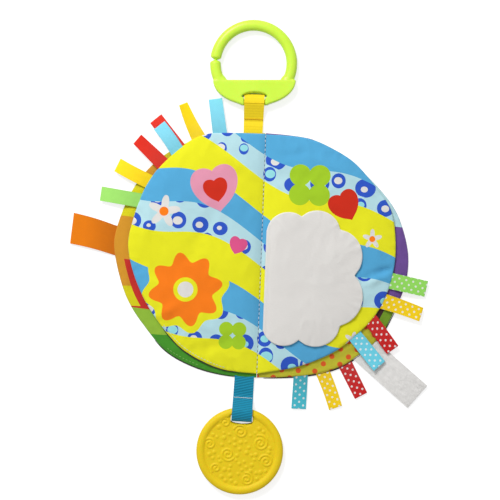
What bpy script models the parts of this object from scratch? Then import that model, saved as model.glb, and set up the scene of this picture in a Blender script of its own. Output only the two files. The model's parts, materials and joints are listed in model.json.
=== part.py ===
# Crinkle cloth book, lying open at its centre spread.
# +X is the reader's right, +Y is up the page, +Z is up from the table.
# The origin is the middle of the spine, on the table.

import math

import bmesh
import bpy
from mathutils import Vector

mm = 0.001

GAP = 0.3 * mm  # between pieces that touch
OVERRUN = 2.0 * mm  # how far a cutter runs past what it cuts

# Leaves, measured from the spine line
PAGE_REACH = 93.4 * mm
PAGE_TOP = 84.0 * mm
PAGE_BOTTOM = 84.2 * mm
COVER_REACH = 103.4 * mm
COVER_TOP = 84.6 * mm
COVER_BOTTOM = 87.2 * mm
SEAM_WIDTH = 2.4 * mm  # sewn core of the spine

# Thickness of the layers in a leaf
CLOTH_RIM = 0.8 * mm  # one padded cloth panel at its sewn edge
CLOTH_CROWN = 1.3 * mm  # and in the middle
FILM_THICK = 0.3 * mm
POCKET_SHARE = 0.93  # how far out the film's pocket is fully open
FILM_SHARE = 0.86  # how far out the film itself reaches

# Peek-a-boo flap, sewn to the right page along its straight left edge
FLAP_WIDTH = 68.0 * mm
FLAP_HEIGHT = 96.0 * mm
FLAP_HINGE_X = 3.0 * mm
FLAP_MIDDLE_Y = -16.2 * mm
FLAP_RIM = 0.9 * mm
FLAP_CROWN = 1.4 * mm

# Ribbon tags
TAG_THICK = 0.7 * mm
TAG_WIDTH = 10.0 * mm
TAG_LENGTH = 24.0 * mm
WIDE_TAG_WIDTH = 20.5 * mm
WIDE_TAG_LENGTH = 31.0 * mm
LABEL_WIDTH = 20.5 * mm
LABEL_LENGTH = 48.0 * mm

# Hanging strap and C-shaped link
STRAP_X = -8.9 * mm
STRAP_WIDTH = 14.2 * mm
STRAP_THICK = 0.9 * mm  # one layer of webbing
STRAP_STITCH = 9.5 * mm  # stitch line, from the book's edge
LINK_TUBE = 3.6 * mm  # radius of the ring's tube
LINK_RADIUS = 26.7 * mm  # to the middle of the tube
LINK_BAR_REACH = 20.8 * mm  # book's edge to the bar's axis
LINK_BAR = 2.0 * mm  # radius of the bar inside the strap
LINK_BASE_RADIUS = 32.0 * mm
LINK_BASE_THICK = 6.0 * mm
LINK_BASE_FLAT = 15.8 * mm  # bar's axis to the base's flat inner edge
LINK_SLOT_WIDTH = 18.0 * mm
LINK_SLOT_HEIGHT = 6.0 * mm
LINK_GAP = 1.6 * mm  # opening between the ring's two ends
LINK_GAP_TURN = 177.0  # degrees round from +X to that opening
LINK_FOOT = 8  # degrees that each arm runs on into the base
LINK_ARM_STEP = 9  # degrees of the ring between two points of its tube
LINK_BASE_STEPS = 20
LINK_TIP_SHARES = (0.35, 0.72, 0.92)  # rounded end of the tube, as shares of its radius

# Teether strap and teether
RIBBON_X = -8.6 * mm
RIBBON_WIDTH = 13.8 * mm
RIBBON_THICK = 0.9 * mm
RIBBON_STITCH = 14.0 * mm
TEETHER_RADIUS = 30.4 * mm
TEETHER_RIM = 2.6 * mm  # radius of the rounded rim
TEETHER_WEB = 2.8 * mm  # thickness inside the rim
TEETHER_BAR_REACH = 24.1 * mm  # book's edge to the rim's middle
TEETHER_SLOT_WIDTH = 17.0 * mm
TEETHER_SLOT_HEIGHT = 6.4 * mm
SPIRAL_RADIUS = 5.0 * mm
SPIRAL_TUBE = 0.65 * mm
SPIRAL_START = 1.1 * mm  # radius at the spiral's inner end
SPIRAL_CIRCLE = 14.4 * mm  # circle that the outer spirals sit on
SPIRAL_TURNS = 1.5
SPIRAL_COUNT = 6
SPIRAL_STEPS = 16
RIM_STEPS = 12
TURN_STEPS = 40

# Room of a strap's loop round its bar
BAR_CLEARANCE = 0.3 * mm
LOOP_SLACK = 2.5 * mm  # more of it past the bar
LOOP_WRAP = 40  # degrees that the loop hugs the bar on the near side
LOOP_STEPS = 10
WRAP_STEPS = 3
ROOT_STEPS = 6

# Curved edge of each leaf from the top of the spine round to its bottom:
# shares of the leaf's reach, and of its top above the middle or its bottom below it
LEFT_PAGE_SHARES = (
    (0, 1), (0.31, 0.995), (0.46, 0.97), (0.60, 0.885), (0.79, 0.68), (0.90, 0.48), (0.975, 0.22),
    (1, 0.03), (0.955, -0.19), (0.86, -0.42), (0.74, -0.61), (0.58, -0.80), (0.40, -0.915),
    (0.22, -0.98), (0, -1),
)
RIGHT_PAGE_SHARES = (
    (0, 0.995), (0.28, 0.98), (0.49, 0.90), (0.68, 0.775), (0.86, 0.56), (0.96, 0.40), (1, 0.18),
    (1, -0.06), (0.94, -0.33), (0.84, -0.52), (0.73, -0.645), (0.60, -0.77), (0.44, -0.865),
    (0.27, -0.935), (0, -1),
)
LEFT_COVER_SHARES = (
    (0, 1), (0.28, 0.985), (0.46, 0.93), (0.64, 0.82), (0.79, 0.66), (0.90, 0.46), (0.98, 0.20),
    (1, 0), (0.94, -0.28), (0.87, -0.46), (0.77, -0.62), (0.64, -0.79), (0.50, -0.89), (0.33, -0.96),
    (0.15, -0.995), (0, -1),
)
RIGHT_COVER_SHARES = (
    (0, 1), (0.30, 0.965), (0.54, 0.83), (0.70, 0.67), (0.83, 0.51), (0.92, 0.35), (0.985, 0.12),
    (1, -0.07), (0.97, -0.27), (0.87, -0.54), (0.79, -0.68), (0.68, -0.79), (0.57, -0.88),
    (0.40, -0.95), (0.20, -0.985), (0, -1),
)
EDGE_STEPS = 2  # points of the curve for each span of a table
LEAF_RING_SHARES = (0, 0.45, 0.75, POCKET_SHARE, 1)
FILM_RING_SHARES = (0, 0.5, 1)

# Notches between the flap's lobes, as shares of its width from the hinge and of its height
FLAP_NOTCH_SHARES = (
    (0, 0.335), (0.355, 0.45), (0.755, 0.365), (0.92, 0.035), (0.79, -0.335), (0.37, -0.45), (0, -0.39),
)
FLAP_LOBE_SHARES = (0.28, 0.29, 0.30, 0.285, 0.30, 0.275)  # bulge of each lobe over its chord
FLAP_LOBE_STEPS = 6
FLAP_RING_SHARES = (0, 0.4, 0.75, 0.94, 1)

# Name, leaf, bearing of the root from the spine's middle, heading of the ribbon (degrees, mirrored on
# the left), length, width, share of the width at the fold, and which layer of the edge it is sewn in
TAGS = (
    ("left_light_blue_tag_upper", "left_page", 69, 80, 0.97 * TAG_LENGTH, TAG_WIDTH, 0.95, 0),
    ("left_yellow_tag_upper", "left_page", 60, 62, 1.02 * TAG_LENGTH, TAG_WIDTH, 0.62, 0),
    ("left_red_tag_upper", "left_page", 50.5, 50, 1.10 * TAG_LENGTH, TAG_WIDTH, 1, -1),
    ("left_light_blue_tag_lower", "left_page", 49, 49, 0.94 * TAG_LENGTH, TAG_WIDTH, 0.95, 1),
    ("left_red_tag_lower", "left_page", 40.5, 40, 1.05 * TAG_LENGTH, TAG_WIDTH, 0.85, 0),
    ("left_yellow_tag_lower", "left_page", 31, 24, 1.02 * TAG_LENGTH, TAG_WIDTH, 1, 0),
    ("left_green_tag", "left_page", 21.5, 7, 1.14 * TAG_LENGTH, TAG_WIDTH, 1, 0),
    ("left_orange_wide_tag", "left_cover", 3, 13, WIDE_TAG_LENGTH, WIDE_TAG_WIDTH, 1.06, 0),
    ("right_green_dotted_tag", "right_page", -10, -11, 1.05 * TAG_LENGTH, TAG_WIDTH, 1, 0),
    ("right_yellow_dotted_tag", "right_page", -19.5, -16.5, 1.16 * TAG_LENGTH, TAG_WIDTH, 0.9, 0),
    ("right_red_dotted_tag", "right_page", -29.5, -51, 1.08 * TAG_LENGTH, TAG_WIDTH, 1, 0),
    ("right_light_blue_dotted_tag", "right_page", -39.5, -48, 1.16 * TAG_LENGTH, TAG_WIDTH, 1.05, 0),
    ("right_white_label", "right_cover", -40.5, -39, LABEL_LENGTH, LABEL_WIDTH, 1.02, 0),
    ("lower_teal_dotted_tag", "right_cover", -70, -91, 0.96 * TAG_LENGTH, TAG_WIDTH, 1.02, 0),
    ("lower_yellow_dotted_tag", "right_cover", -60.5, -68, 1.03 * TAG_LENGTH, TAG_WIDTH, 0.95, 0),
    ("lower_red_dotted_tag", "right_cover", -50.5, -61, 0.97 * TAG_LENGTH, TAG_WIDTH, 0.97, 0),
)

COLOURS = {
    "left_page_front": (0.75, 0.76, 0.06),
    "left_page_back": (0.12, 0.40, 0.66),
    "right_page_front": (0.12, 0.40, 0.66),
    "right_page_back": (0.72, 0.66, 0.04),
    "left_cover_front": (0.58, 0.28, 0.04),
    "left_cover_back": (0.26, 0.50, 0.06),
    "right_cover_front": (0.33, 0.33, 0.03),
    "right_cover_back": (0.16, 0.08, 0.32),
    "film": (0.80, 0.82, 0.84),
    "spine_seam": (0.55, 0.54, 0.52),
    "cloud_flap": (0.75, 0.74, 0.71),
    "light_blue": (0.21, 0.66, 0.82),
    "yellow": (0.93, 0.66, 0.03),
    "red": (0.68, 0.03, 0.04),
    "green": (0.34, 0.76, 0.18),
    "orange": (0.80, 0.27, 0.02),
    "white": (0.69, 0.68, 0.66),
    "teal": (0.08, 0.42, 0.53),
    "hanging_strap": (0.86, 0.62, 0.02),
    "hanging_link": (0.50, 0.80, 0.06),
    "teether_strap": (0.02, 0.27, 0.42),
    "teether": (0.82, 0.60, 0.01),
}

seam_edge = SEAM_WIDTH / 2 + GAP  # where each leaf starts beside the spine's core
rim_thick = 2 * CLOTH_RIM + GAP
leaf_thick = 2 * CLOTH_CROWN + FILM_THICK + 2 * GAP
page_base = leaf_thick + GAP
stack_top = page_base + leaf_thick
hinge_height = stack_top + FLAP_CROWN / 2 + GAP


def clear_scene():
    for old in list(bpy.data.objects):
        bpy.data.objects.remove(old, do_unlink=True)


def new_collection(name):
    group = bpy.data.collections.new(name)
    bpy.context.scene.collection.children.link(group)
    return group


def make_material(name, colour, roughness):
    material = bpy.data.materials.new(name)
    material.use_nodes = True
    shader = material.node_tree.nodes["Principled BSDF"]
    shader.inputs["Base Color"].default_value = (*colour, 1)
    shader.inputs["Roughness"].default_value = roughness
    shader.inputs["Metallic"].default_value = 0
    return material


def finish(thing, colour, roughness, parent=None):
    """Give a piece its material and hang it on its hinge without moving it."""
    thing.data.materials.clear()
    thing.data.materials.append(make_material(thing.name, COLOURS[colour], roughness))
    if parent is not None:
        bpy.context.view_layer.update()
        thing.parent = parent
        thing.matrix_parent_inverse = parent.matrix_world.inverted()
    return thing


def mesh_object(name, mesh, group):
    thing = bpy.data.objects.new(name, mesh)
    group.objects.link(thing)
    return thing


def hinge(name, place, parent=None):
    axis = bpy.data.objects.new(name, None)
    book.objects.link(axis)
    axis.location = place
    bpy.context.view_layer.update()
    if parent is not None:
        axis.parent = parent
        axis.matrix_parent_inverse = parent.matrix_world.inverted()
    return axis


def curve_object(name, group, dimensions):
    data = bpy.data.curves.new(name, "CURVE")
    data.dimensions = dimensions
    return mesh_object(name, data, group)


def add_spline(curve, points, cyclic, radii=None):
    spline = curve.data.splines.new("POLY")
    spline.points.add(len(points) - 1)
    for index, point in enumerate(points):
        spline.points[index].co = (*point, 0, 1) if len(point) == 2 else (*point, 1)
        if radii:
            spline.points[index].radius = radii[index]
    spline.use_cyclic_u = cyclic


def curve_to_mesh(curve, group):
    """Turn a curve into a welded mesh object at the same place."""
    bpy.context.view_layer.update()
    shape = curve.evaluated_get(bpy.context.evaluated_depsgraph_get())
    mesh = bpy.data.meshes.new_from_object(shape)
    name = curve.name
    place = curve.matrix_world.copy()
    bpy.data.objects.remove(curve, do_unlink=True)
    welded = bmesh.new()
    welded.from_mesh(mesh)
    bmesh.ops.remove_doubles(welded, verts=welded.verts, dist=0.01 * mm)
    bmesh.ops.recalc_face_normals(welded, faces=welded.faces)
    welded.to_mesh(mesh)
    welded.free()
    thing = mesh_object(name, mesh, group)
    thing.matrix_world = place
    return thing


def flat_piece(name, points, thickness, group, holes=()):
    """A flat outline filled and given its thickness."""
    curve = curve_object(name, group, "2D")
    curve.data.fill_mode = "BOTH"
    curve.data.extrude = thickness / 2
    add_spline(curve, points, True)
    for hole in holes:
        add_spline(curve, hole, True)
    return curve


def tube(name, points, radius, group, resolution, radii=None):
    curve = curve_object(name, group, "3D")
    curve.data.bevel_depth = radius
    curve.data.bevel_resolution = resolution
    curve.data.use_fill_caps = True
    add_spline(curve, points, False, radii)
    return curve


def box(name, low, high, group):
    mesh = bpy.data.meshes.new(name)
    cube = bmesh.new()
    bmesh.ops.create_cube(cube, size=1)
    low, high = Vector(low), Vector(high)
    middle = (low + high) / 2
    for vert in cube.verts:
        vert.co = middle + vert.co * (high - low)
    cube.to_mesh(mesh)
    cube.free()
    return mesh_object(name, mesh, group)


def guide(thing):
    """A cutter, or a shape that is joined into another piece."""
    thing.hide_render = True
    thing.display_type = "WIRE"
    return thing


def combine(thing, other, operation):
    step = thing.modifiers.new(other.name, "BOOLEAN")
    step.operation = operation
    step.solver = "EXACT"
    step.object = guide(other)


def smooth_curve(points, steps):
    """Points on a Catmull-Rom curve through the given ones."""
    ends = [points[0] * 2 - points[1]] + points + [points[-1] * 2 - points[-2]]
    curve = []
    for a, b, c, d in zip(ends, ends[1:], ends[2:], ends[3:]):
        for step in range(steps):
            t = step / steps
            bend = a * 2 - b * 5 + c * 4 - d
            turn = b * 3 - a - c * 3 + d
            curve.append((b * 2 + (c - a) * t + bend * t**2 + turn * t**3) / 2)
    return curve + [points[-1]]


def cloth_at(share):
    return CLOTH_RIM + (CLOTH_CROWN - CLOTH_RIM) * math.sqrt(1 - share**4)


def pocket_at(share):
    opened = min(1, (1 - share) / (1 - POCKET_SHARE))
    return GAP + (FILM_THICK + GAP) * opened


def describe_leaf(side, reach, top, bottom, shares, base):
    """A leaf's outline from the top of the spine round its edge; the spine closes it."""
    edge = []
    for across, along in shares:
        x = seam_edge + across * (reach - seam_edge)
        edge.append(Vector((side * x, along * (top if along > 0 else bottom))))
    outline = smooth_curve(edge, EDGE_STEPS)
    centre = Vector((side * (seam_edge + reach) / 2, 0))
    return dict(side=side, reach=reach, outline=outline, centre=centre, base=base)


def padded_sheet(name, outline, centre, ring_shares, low, high):
    """A closed sheet: a sphere's rings spread out to rings of the outline.

    low and high give the heights of its two faces at a share of the way to the edge.
    """
    if sum(a.cross(b) for a, b in zip(outline, outline[1:] + outline[:1])) < 0:
        outline = outline[::-1]  # the sphere's points run anticlockwise
    around = len(outline)
    rings = len(ring_shares) - 1
    layers = 2 * rings + 1
    mesh = bpy.data.meshes.new(name)
    sheet = bmesh.new()
    bmesh.ops.create_uvsphere(sheet, u_segments=around, v_segments=layers, radius=1)
    for vert in sheet.verts:
        layer = round(math.acos(max(-1, min(1, vert.co.z))) / math.pi * layers)
        turn = math.atan2(vert.co.y, vert.co.x) / math.tau * around
        place = math.floor(turn + 1 / 8) % around  # the sphere may start up to 3/4 of a step round
        upper = layer <= rings
        share = ring_shares[layer if upper else layers - layer]
        point = centre.lerp(outline[place], share)
        vert.co = (*point, high(share) if upper else low(share))
    sheet.to_mesh(mesh)
    sheet.free()
    mesh.shade_smooth()
    mesh.set_sharp_from_angle(angle=math.radians(50))
    return mesh_object(name, mesh, book)


def make_leaf(name, parent):
    """Front cloth, crinkle film and back cloth; the front faces up as the book lies."""
    leaf = LEAVES[name]

    def back_low(share):
        return leaf["base"]

    def back_high(share):
        return leaf["base"] + cloth_at(share)

    def front_low(share):
        return back_high(share) + pocket_at(share)

    def front_high(share):
        return front_low(share) + cloth_at(share)

    def film_low(share):
        return back_high(share * FILM_SHARE) + GAP

    def film_high(share):
        return film_low(share) + FILM_THICK

    outline, centre = leaf["outline"], leaf["centre"]
    front = padded_sheet(name + "_front_panel", outline, centre, LEAF_RING_SHARES, front_low, front_high)
    back = padded_sheet(name + "_back_panel", outline, centre, LEAF_RING_SHARES, back_low, back_high)
    inner = [centre.lerp(point, FILM_SHARE) for point in outline]
    film = padded_sheet(name + "_crinkle_film", inner, centre, FILM_RING_SHARES, film_low, film_high)
    finish(front, name + "_front", 0.85, parent)
    finish(back, name + "_back", 0.85, parent)
    finish(film, "film", 0.25, parent)


def make_spine():
    """Sewn core where the two sheets are stitched together."""
    half = SEAM_WIDTH / 2
    height = page_base + rim_thick
    seam = box("spine_seam", (-half, -PAGE_BOTTOM, 0), (half, PAGE_TOP, height), book)
    finish(seam, "spine_seam", 0.9)


def lobe(start, end, bulge, steps):
    """Arc from start to end that stands out to the left of that line by bulge times its length."""
    chord = end - start
    rise = bulge * chord.length
    radius = (chord.length**2 / 4 + rise**2) / (2 * rise)
    outward = Vector((-chord.y, chord.x)).normalized()
    middle = start.lerp(end, 0.5) + outward * (rise - radius)
    first = math.atan2(start.y - middle.y, start.x - middle.x)
    sweep = 2 * math.asin(min(1, chord.length / 2 / radius))
    return [
        middle + radius * Vector((math.cos(first - sweep * k / steps), math.sin(first - sweep * k / steps)))
        for k in range(steps)
    ]


def make_flap(parent):
    """Blank cloud-shaped flap on the right page."""
    notches = [
        Vector((FLAP_HINGE_X + across * FLAP_WIDTH, FLAP_MIDDLE_Y + along * FLAP_HEIGHT))
        for across, along in FLAP_NOTCH_SHARES
    ]
    outline = []
    for start, end, bulge in zip(notches, notches[1:], FLAP_LOBE_SHARES):
        outline += lobe(start, end, bulge, FLAP_LOBE_STEPS)
    outline.append(notches[-1])
    centre = Vector((FLAP_HINGE_X + FLAP_WIDTH / 2, FLAP_MIDDLE_Y))

    def low(share):
        return stack_top + GAP

    def high(share):
        return low(share) + FLAP_RIM + (FLAP_CROWN - FLAP_RIM) * math.sqrt(1 - share**4)

    flap = padded_sheet("cloud_flap", outline, centre, FLAP_RING_SHARES, low, high)
    finish(flap, "cloud_flap", 0.9, parent)


def edge_place(leaf, bearing):
    """Point of a leaf's edge at a bearing from the spine's middle, and the edge's outward normal."""
    side, outline = leaf["side"], leaf["outline"]
    angle = math.radians(bearing)
    start = Vector((side * seam_edge, 0))
    sight = Vector((side * math.cos(angle), math.sin(angle)))
    beside = [sight.cross(point - start) for point in outline]
    index = next(k for k in range(1, len(outline)) if beside[k - 1] * beside[k] <= 0)
    a, b = outline[index - 1], outline[index]
    along = (b - a).normalized()
    place = a.lerp(b, beside[index - 1] / (beside[index - 1] - beside[index]))
    return place, Vector((-along.y, along.x)) * side


def make_tag(row, parent):
    """Ribbon folded in half and sewn into the edge, as one flat piece."""
    name, leaf_name, bearing, heading, length, width, fold_share, layer = row
    leaf = LEAVES[leaf_name]
    side = leaf["side"]
    edge, normal = edge_place(leaf, bearing)
    angle = math.radians(heading)
    ahead = Vector((side * math.cos(angle), math.sin(angle)))
    across = Vector((-ahead.y, ahead.x))
    along_edge = Vector((-normal.y, normal.x))
    root = edge + normal * GAP
    spread = width / 2 / ahead.dot(normal)
    fold = root + ahead * length
    points = [
        root - along_edge * spread,
        root + along_edge * spread,
        fold + across * fold_share * width / 2,
        fold - across * fold_share * width / 2,
    ]
    height = leaf["base"] + rim_thick / 2 + layer * (TAG_THICK + GAP) / 2
    tag = flat_piece(name, [(p.x - root.x, p.y - root.y) for p in points], TAG_THICK, book)
    tag.location = (root.x, root.y, height)
    colour = next(c for c in ("light_blue", "yellow", "red", "green", "orange", "white", "teal") if c in name)
    finish(tag, colour, 0.4, parent)


def arc(centre, across, along, first, last, steps):
    """Points of an ellipse's arc, angles in degrees."""
    points = []
    for step in range(steps + 1):
        angle = math.radians(first + (last - first) * step / steps)
        points.append((centre[0] + across * math.cos(angle), centre[1] + along * math.sin(angle)))
    return points


def loop_round(centre, radius):
    """Strap's line round a bar: close to it on the near side, and slack past it."""
    near_low = arc(centre, radius, radius, -90 - LOOP_WRAP, -90, WRAP_STEPS)
    past = arc(centre, radius + LOOP_SLACK, radius, -90, 90, LOOP_STEPS)
    near_high = arc(centre, radius, radius, 90, 90 + LOOP_WRAP, WRAP_STEPS)
    return near_low[:-1] + past + near_high[1:]


def make_strap(name, colour, x, edge, way, width, thick, stitch, reach, bar_height, inner):
    """Strap that is sewn into the cover's edge, runs out, goes round a bar and comes back."""
    root_height = rim_thick / 2
    rise = bar_height - root_height
    root = edge + GAP + thick
    end = reach - GAP - thick
    outside = arc((0, 0), thick, thick, 90, 270, ROOT_STEPS)
    outside.append((stitch, -thick))
    outside += loop_round((end, rise), inner + thick)
    outside.append((stitch, thick))
    inside = [(stitch + 2 * thick, 0)] + loop_round((end, rise), inner)
    strap = flat_piece(name, outside, width, book, [inside])
    strap.location = (x, way * root, root_height)
    strap.rotation_euler = (math.radians(90), 0, math.radians(90) * way)
    hinges[name] = finish(strap, colour, 0.8, hinges["left_cover"])


def make_link():
    """C-shaped ring on a slotted base, whose bar runs through the hanging strap."""
    bar_y = COVER_TOP + LINK_BAR_REACH
    bar_z = LINK_TUBE
    ring_y = LINK_RADIUS + LINK_TUBE - LINK_BAR
    base_y = LINK_BASE_RADIUS - LINK_BAR
    side = LINK_BASE_RADIUS
    shoulder = math.degrees(math.asin((base_y - LINK_BASE_FLAT) / side))
    outline = arc((0, base_y), side, side, -180 + shoulder, -shoulder, LINK_BASE_STEPS)
    link = curve_to_mesh(flat_piece("hanging_link", outline, LINK_BASE_THICK, book), book)

    half_slot = LINK_SLOT_WIDTH / 2
    half_thick = LINK_BASE_THICK / 2 + OVERRUN
    window_top = LINK_BAR + LINK_SLOT_HEIGHT
    window_low = (-half_slot, -LINK_BAR - OVERRUN, -half_thick)
    window = box("link_window", window_low, (half_slot, window_top, half_thick), cutters)
    bar_half = half_slot + OVERRUN
    bar = tube("link_bar", [(-bar_half, 0, 0), (bar_half, 0, 0)], LINK_BAR, cutters, 3)

    gap_turn = math.degrees(LINK_GAP / 2 / LINK_RADIUS)
    foot = math.degrees(math.asin((ring_y - LINK_BASE_FLAT) / LINK_RADIUS)) + LINK_FOOT
    tip_steps = len(LINK_TIP_SHARES)
    for name, first, last in (
        ("link_long_arm", LINK_GAP_TURN - gap_turn, -foot),
        ("link_short_arm", LINK_GAP_TURN + gap_turn, 180 + foot),
    ):
        steps = round(abs(last - first) / LINK_ARM_STEP)
        tip_end = first + (last - first) / steps
        line = arc((0, ring_y), LINK_RADIUS, LINK_RADIUS, first, tip_end, tip_steps)[:-1]
        line += arc((0, ring_y), LINK_RADIUS, LINK_RADIUS, first, last, steps)[1:]
        radii = list(LINK_TIP_SHARES) + [1] * steps
        arm = curve_to_mesh(tube(name, [(*p, 0) for p in line], LINK_TUBE, cutters, 3, radii), cutters)
        combine(link, arm, "UNION")
    combine(link, window, "DIFFERENCE")
    combine(link, curve_to_mesh(bar, cutters), "UNION")
    for thing in [link] + [step.object for step in link.modifiers]:
        thing.location = (STRAP_X, bar_y, bar_z)
    finish(link, "hanging_link", 0.35, hinges["hanging_strap"])


def rim_sag():
    """How far the teether's rim curves away from a straight bar across the strap, halved."""
    middle = TEETHER_RADIUS - TEETHER_RIM
    return (middle - math.sqrt(middle**2 - (RIBBON_WIDTH / 2) ** 2)) / 2


def make_teether(bar_height):
    """Silicone disc with a rounded rim, a slot for its strap and raised spirals."""
    ring = TEETHER_RADIUS - TEETHER_RIM
    half_web = TEETHER_WEB / 2
    meet = math.degrees(math.asin(half_web / TEETHER_RIM))
    profile = [(0, half_web)]
    profile += arc((ring, 0), TEETHER_RIM, TEETHER_RIM, 180 - meet, -180 + meet, RIM_STEPS)
    profile.append((0, -half_web))
    mesh = bpy.data.meshes.new("teether")
    turned = bmesh.new()
    verts = [turned.verts.new((r, 0, z)) for r, z in profile]
    for a, b in zip(verts, verts[1:]):
        turned.edges.new((a, b))
    turned.to_mesh(mesh)
    turned.free()
    disc = mesh_object("teether", mesh, book)
    screw = disc.modifiers.new("turn", "SCREW")
    screw.steps = screw.render_steps = TURN_STEPS
    screw.use_merge_vertices = True
    screw.merge_threshold = 0.01 * mm
    screw.use_smooth_shade = True

    slot_top = ring - TEETHER_RIM
    half_slot = TEETHER_SLOT_WIDTH / 2
    slot = box(
        "teether_slot",
        (-half_slot, slot_top - TEETHER_SLOT_HEIGHT, -half_web - OVERRUN),
        (half_slot, slot_top, half_web + OVERRUN),
        cutters,
    )
    combine(disc, slot, "DIFFERENCE")
    centres = [Vector((0, 0))]
    spiral_height = half_web + SPIRAL_TUBE / 3
    for index in range(SPIRAL_COUNT):
        turn = math.tau * index / SPIRAL_COUNT
        centres.append(SPIRAL_CIRCLE * Vector((math.cos(turn), math.sin(turn))))
    for index, centre in enumerate(centres):
        points = []
        for step in range(SPIRAL_STEPS + 1):
            share = step / SPIRAL_STEPS
            turn = math.tau * (SPIRAL_TURNS * share + index / len(centres))
            radius = SPIRAL_START + (SPIRAL_RADIUS - SPIRAL_TUBE - SPIRAL_START) * share
            point = centre + radius * Vector((math.cos(turn), math.sin(turn)))
            points.append((*point, spiral_height))
        spiral = curve_to_mesh(tube(f"spiral_{index}", points, SPIRAL_TUBE, cutters, 1), cutters)
        combine(disc, spiral, "UNION")
    bar_y = -COVER_BOTTOM - TEETHER_BAR_REACH
    for thing in [disc] + [step.object for step in disc.modifiers if step.type == "BOOLEAN"]:
        thing.location = (RIBBON_X, bar_y - ring + rim_sag(), bar_height)
    bar = hinge("teether_hinge", (RIBBON_X, bar_y, bar_height), hinges["teether_strap"])
    finish(disc, "teether", 0.4, bar)


clear_scene()
book = new_collection("crinkle_cloth_book")
cutters = new_collection("cutters")

LEAVES = {}
LEAVES["right_cover"] = describe_leaf(1, COVER_REACH, COVER_TOP, COVER_BOTTOM, RIGHT_COVER_SHARES, 0)
LEAVES["left_cover"] = describe_leaf(-1, COVER_REACH, COVER_TOP, COVER_BOTTOM, LEFT_COVER_SHARES, 0)
LEAVES["right_page"] = describe_leaf(1, PAGE_REACH, PAGE_TOP, PAGE_BOTTOM, RIGHT_PAGE_SHARES, page_base)
LEAVES["left_page"] = describe_leaf(-1, PAGE_REACH, PAGE_TOP, PAGE_BOTTOM, LEFT_PAGE_SHARES, page_base)

spine_axis = (0, 0, hinge_height)
hinges = {"right_cover": None, "left_cover": hinge("left_cover_hinge", spine_axis)}
hinges["right_page"] = hinge("right_page_hinge", spine_axis)
hinges["left_page"] = hinge("left_page_hinge", spine_axis, hinges["left_cover"])
flap_hinge = hinge("cloud_flap_hinge", (FLAP_HINGE_X, FLAP_MIDDLE_Y, hinge_height), hinges["right_page"])

for leaf_name in LEAVES:
    make_leaf(leaf_name, hinges[leaf_name])
make_spine()
make_flap(flap_hinge)
for row in TAGS:
    make_tag(row, hinges[row[1]])

link_inner = LINK_BAR + BAR_CLEARANCE
make_strap(
    "hanging_strap", "hanging_strap", STRAP_X, COVER_TOP, 1, STRAP_WIDTH, STRAP_THICK, STRAP_STITCH,
    LINK_BAR_REACH, LINK_TUBE, link_inner,
)
make_link()
teether_inner = TEETHER_RIM + rim_sag() + BAR_CLEARANCE
teether_height = rim_thick / 2 + teether_inner
make_strap(
    "teether_strap", "teether_strap", RIBBON_X, COVER_BOTTOM, -1, RIBBON_WIDTH, RIBBON_THICK, RIBBON_STITCH,
    TEETHER_BAR_REACH, teether_height, teether_inner,
)
make_teether(teether_height)
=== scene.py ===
import json
import math
import random

import bpy
import numpy as np
from mathutils import Matrix, Vector, noise

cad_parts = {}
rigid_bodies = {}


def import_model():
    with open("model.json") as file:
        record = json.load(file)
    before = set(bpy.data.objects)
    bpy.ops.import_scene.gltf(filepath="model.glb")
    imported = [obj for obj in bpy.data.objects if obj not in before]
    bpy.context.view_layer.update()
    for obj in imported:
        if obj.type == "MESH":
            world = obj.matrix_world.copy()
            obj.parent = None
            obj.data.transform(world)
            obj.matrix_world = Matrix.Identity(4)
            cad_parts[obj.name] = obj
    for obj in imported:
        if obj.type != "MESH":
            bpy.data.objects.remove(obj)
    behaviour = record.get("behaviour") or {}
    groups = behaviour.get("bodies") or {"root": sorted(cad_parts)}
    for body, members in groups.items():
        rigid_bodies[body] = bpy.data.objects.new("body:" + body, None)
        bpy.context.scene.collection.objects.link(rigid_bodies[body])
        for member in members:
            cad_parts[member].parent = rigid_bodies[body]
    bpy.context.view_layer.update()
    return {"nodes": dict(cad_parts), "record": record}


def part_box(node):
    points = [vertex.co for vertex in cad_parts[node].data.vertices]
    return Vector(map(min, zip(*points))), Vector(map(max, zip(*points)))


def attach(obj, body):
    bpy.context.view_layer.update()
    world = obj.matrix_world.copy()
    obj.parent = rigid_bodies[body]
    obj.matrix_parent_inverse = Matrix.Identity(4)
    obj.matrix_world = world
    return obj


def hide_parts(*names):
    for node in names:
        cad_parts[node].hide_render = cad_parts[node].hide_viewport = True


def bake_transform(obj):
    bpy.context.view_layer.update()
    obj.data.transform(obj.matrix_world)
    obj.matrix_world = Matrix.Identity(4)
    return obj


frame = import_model()
mm = 0.001
random.seed(7)


# Shader maths written as sums

def maths(operation, reflected=False):
    def work(self, other=0.0):
        a, b = (other, self) if reflected else (self, other)
        return self.shade.add("ShaderNodeMath", {"operation": operation}, {0: a, 1: b})
    return work


class Wire:
    def __init__(self, shade, socket):
        self.shade = shade
        self.socket = socket

    __add__ = maths("ADD")
    __radd__ = maths("ADD", True)
    __sub__ = maths("SUBTRACT")
    __rsub__ = maths("SUBTRACT", True)
    __mul__ = maths("MULTIPLY")
    __rmul__ = maths("MULTIPLY", True)
    __truediv__ = maths("DIVIDE")
    __lt__ = maths("LESS_THAN")
    __gt__ = maths("GREATER_THAN")
    __abs__ = maths("ABSOLUTE")
    sine = maths("SINE")
    root = maths("SQRT")
    heading = maths("ARCTAN2")
    least = maths("MINIMUM")
    most = maths("MAXIMUM")
    wrapped = maths("FLOORED_MODULO")


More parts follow.
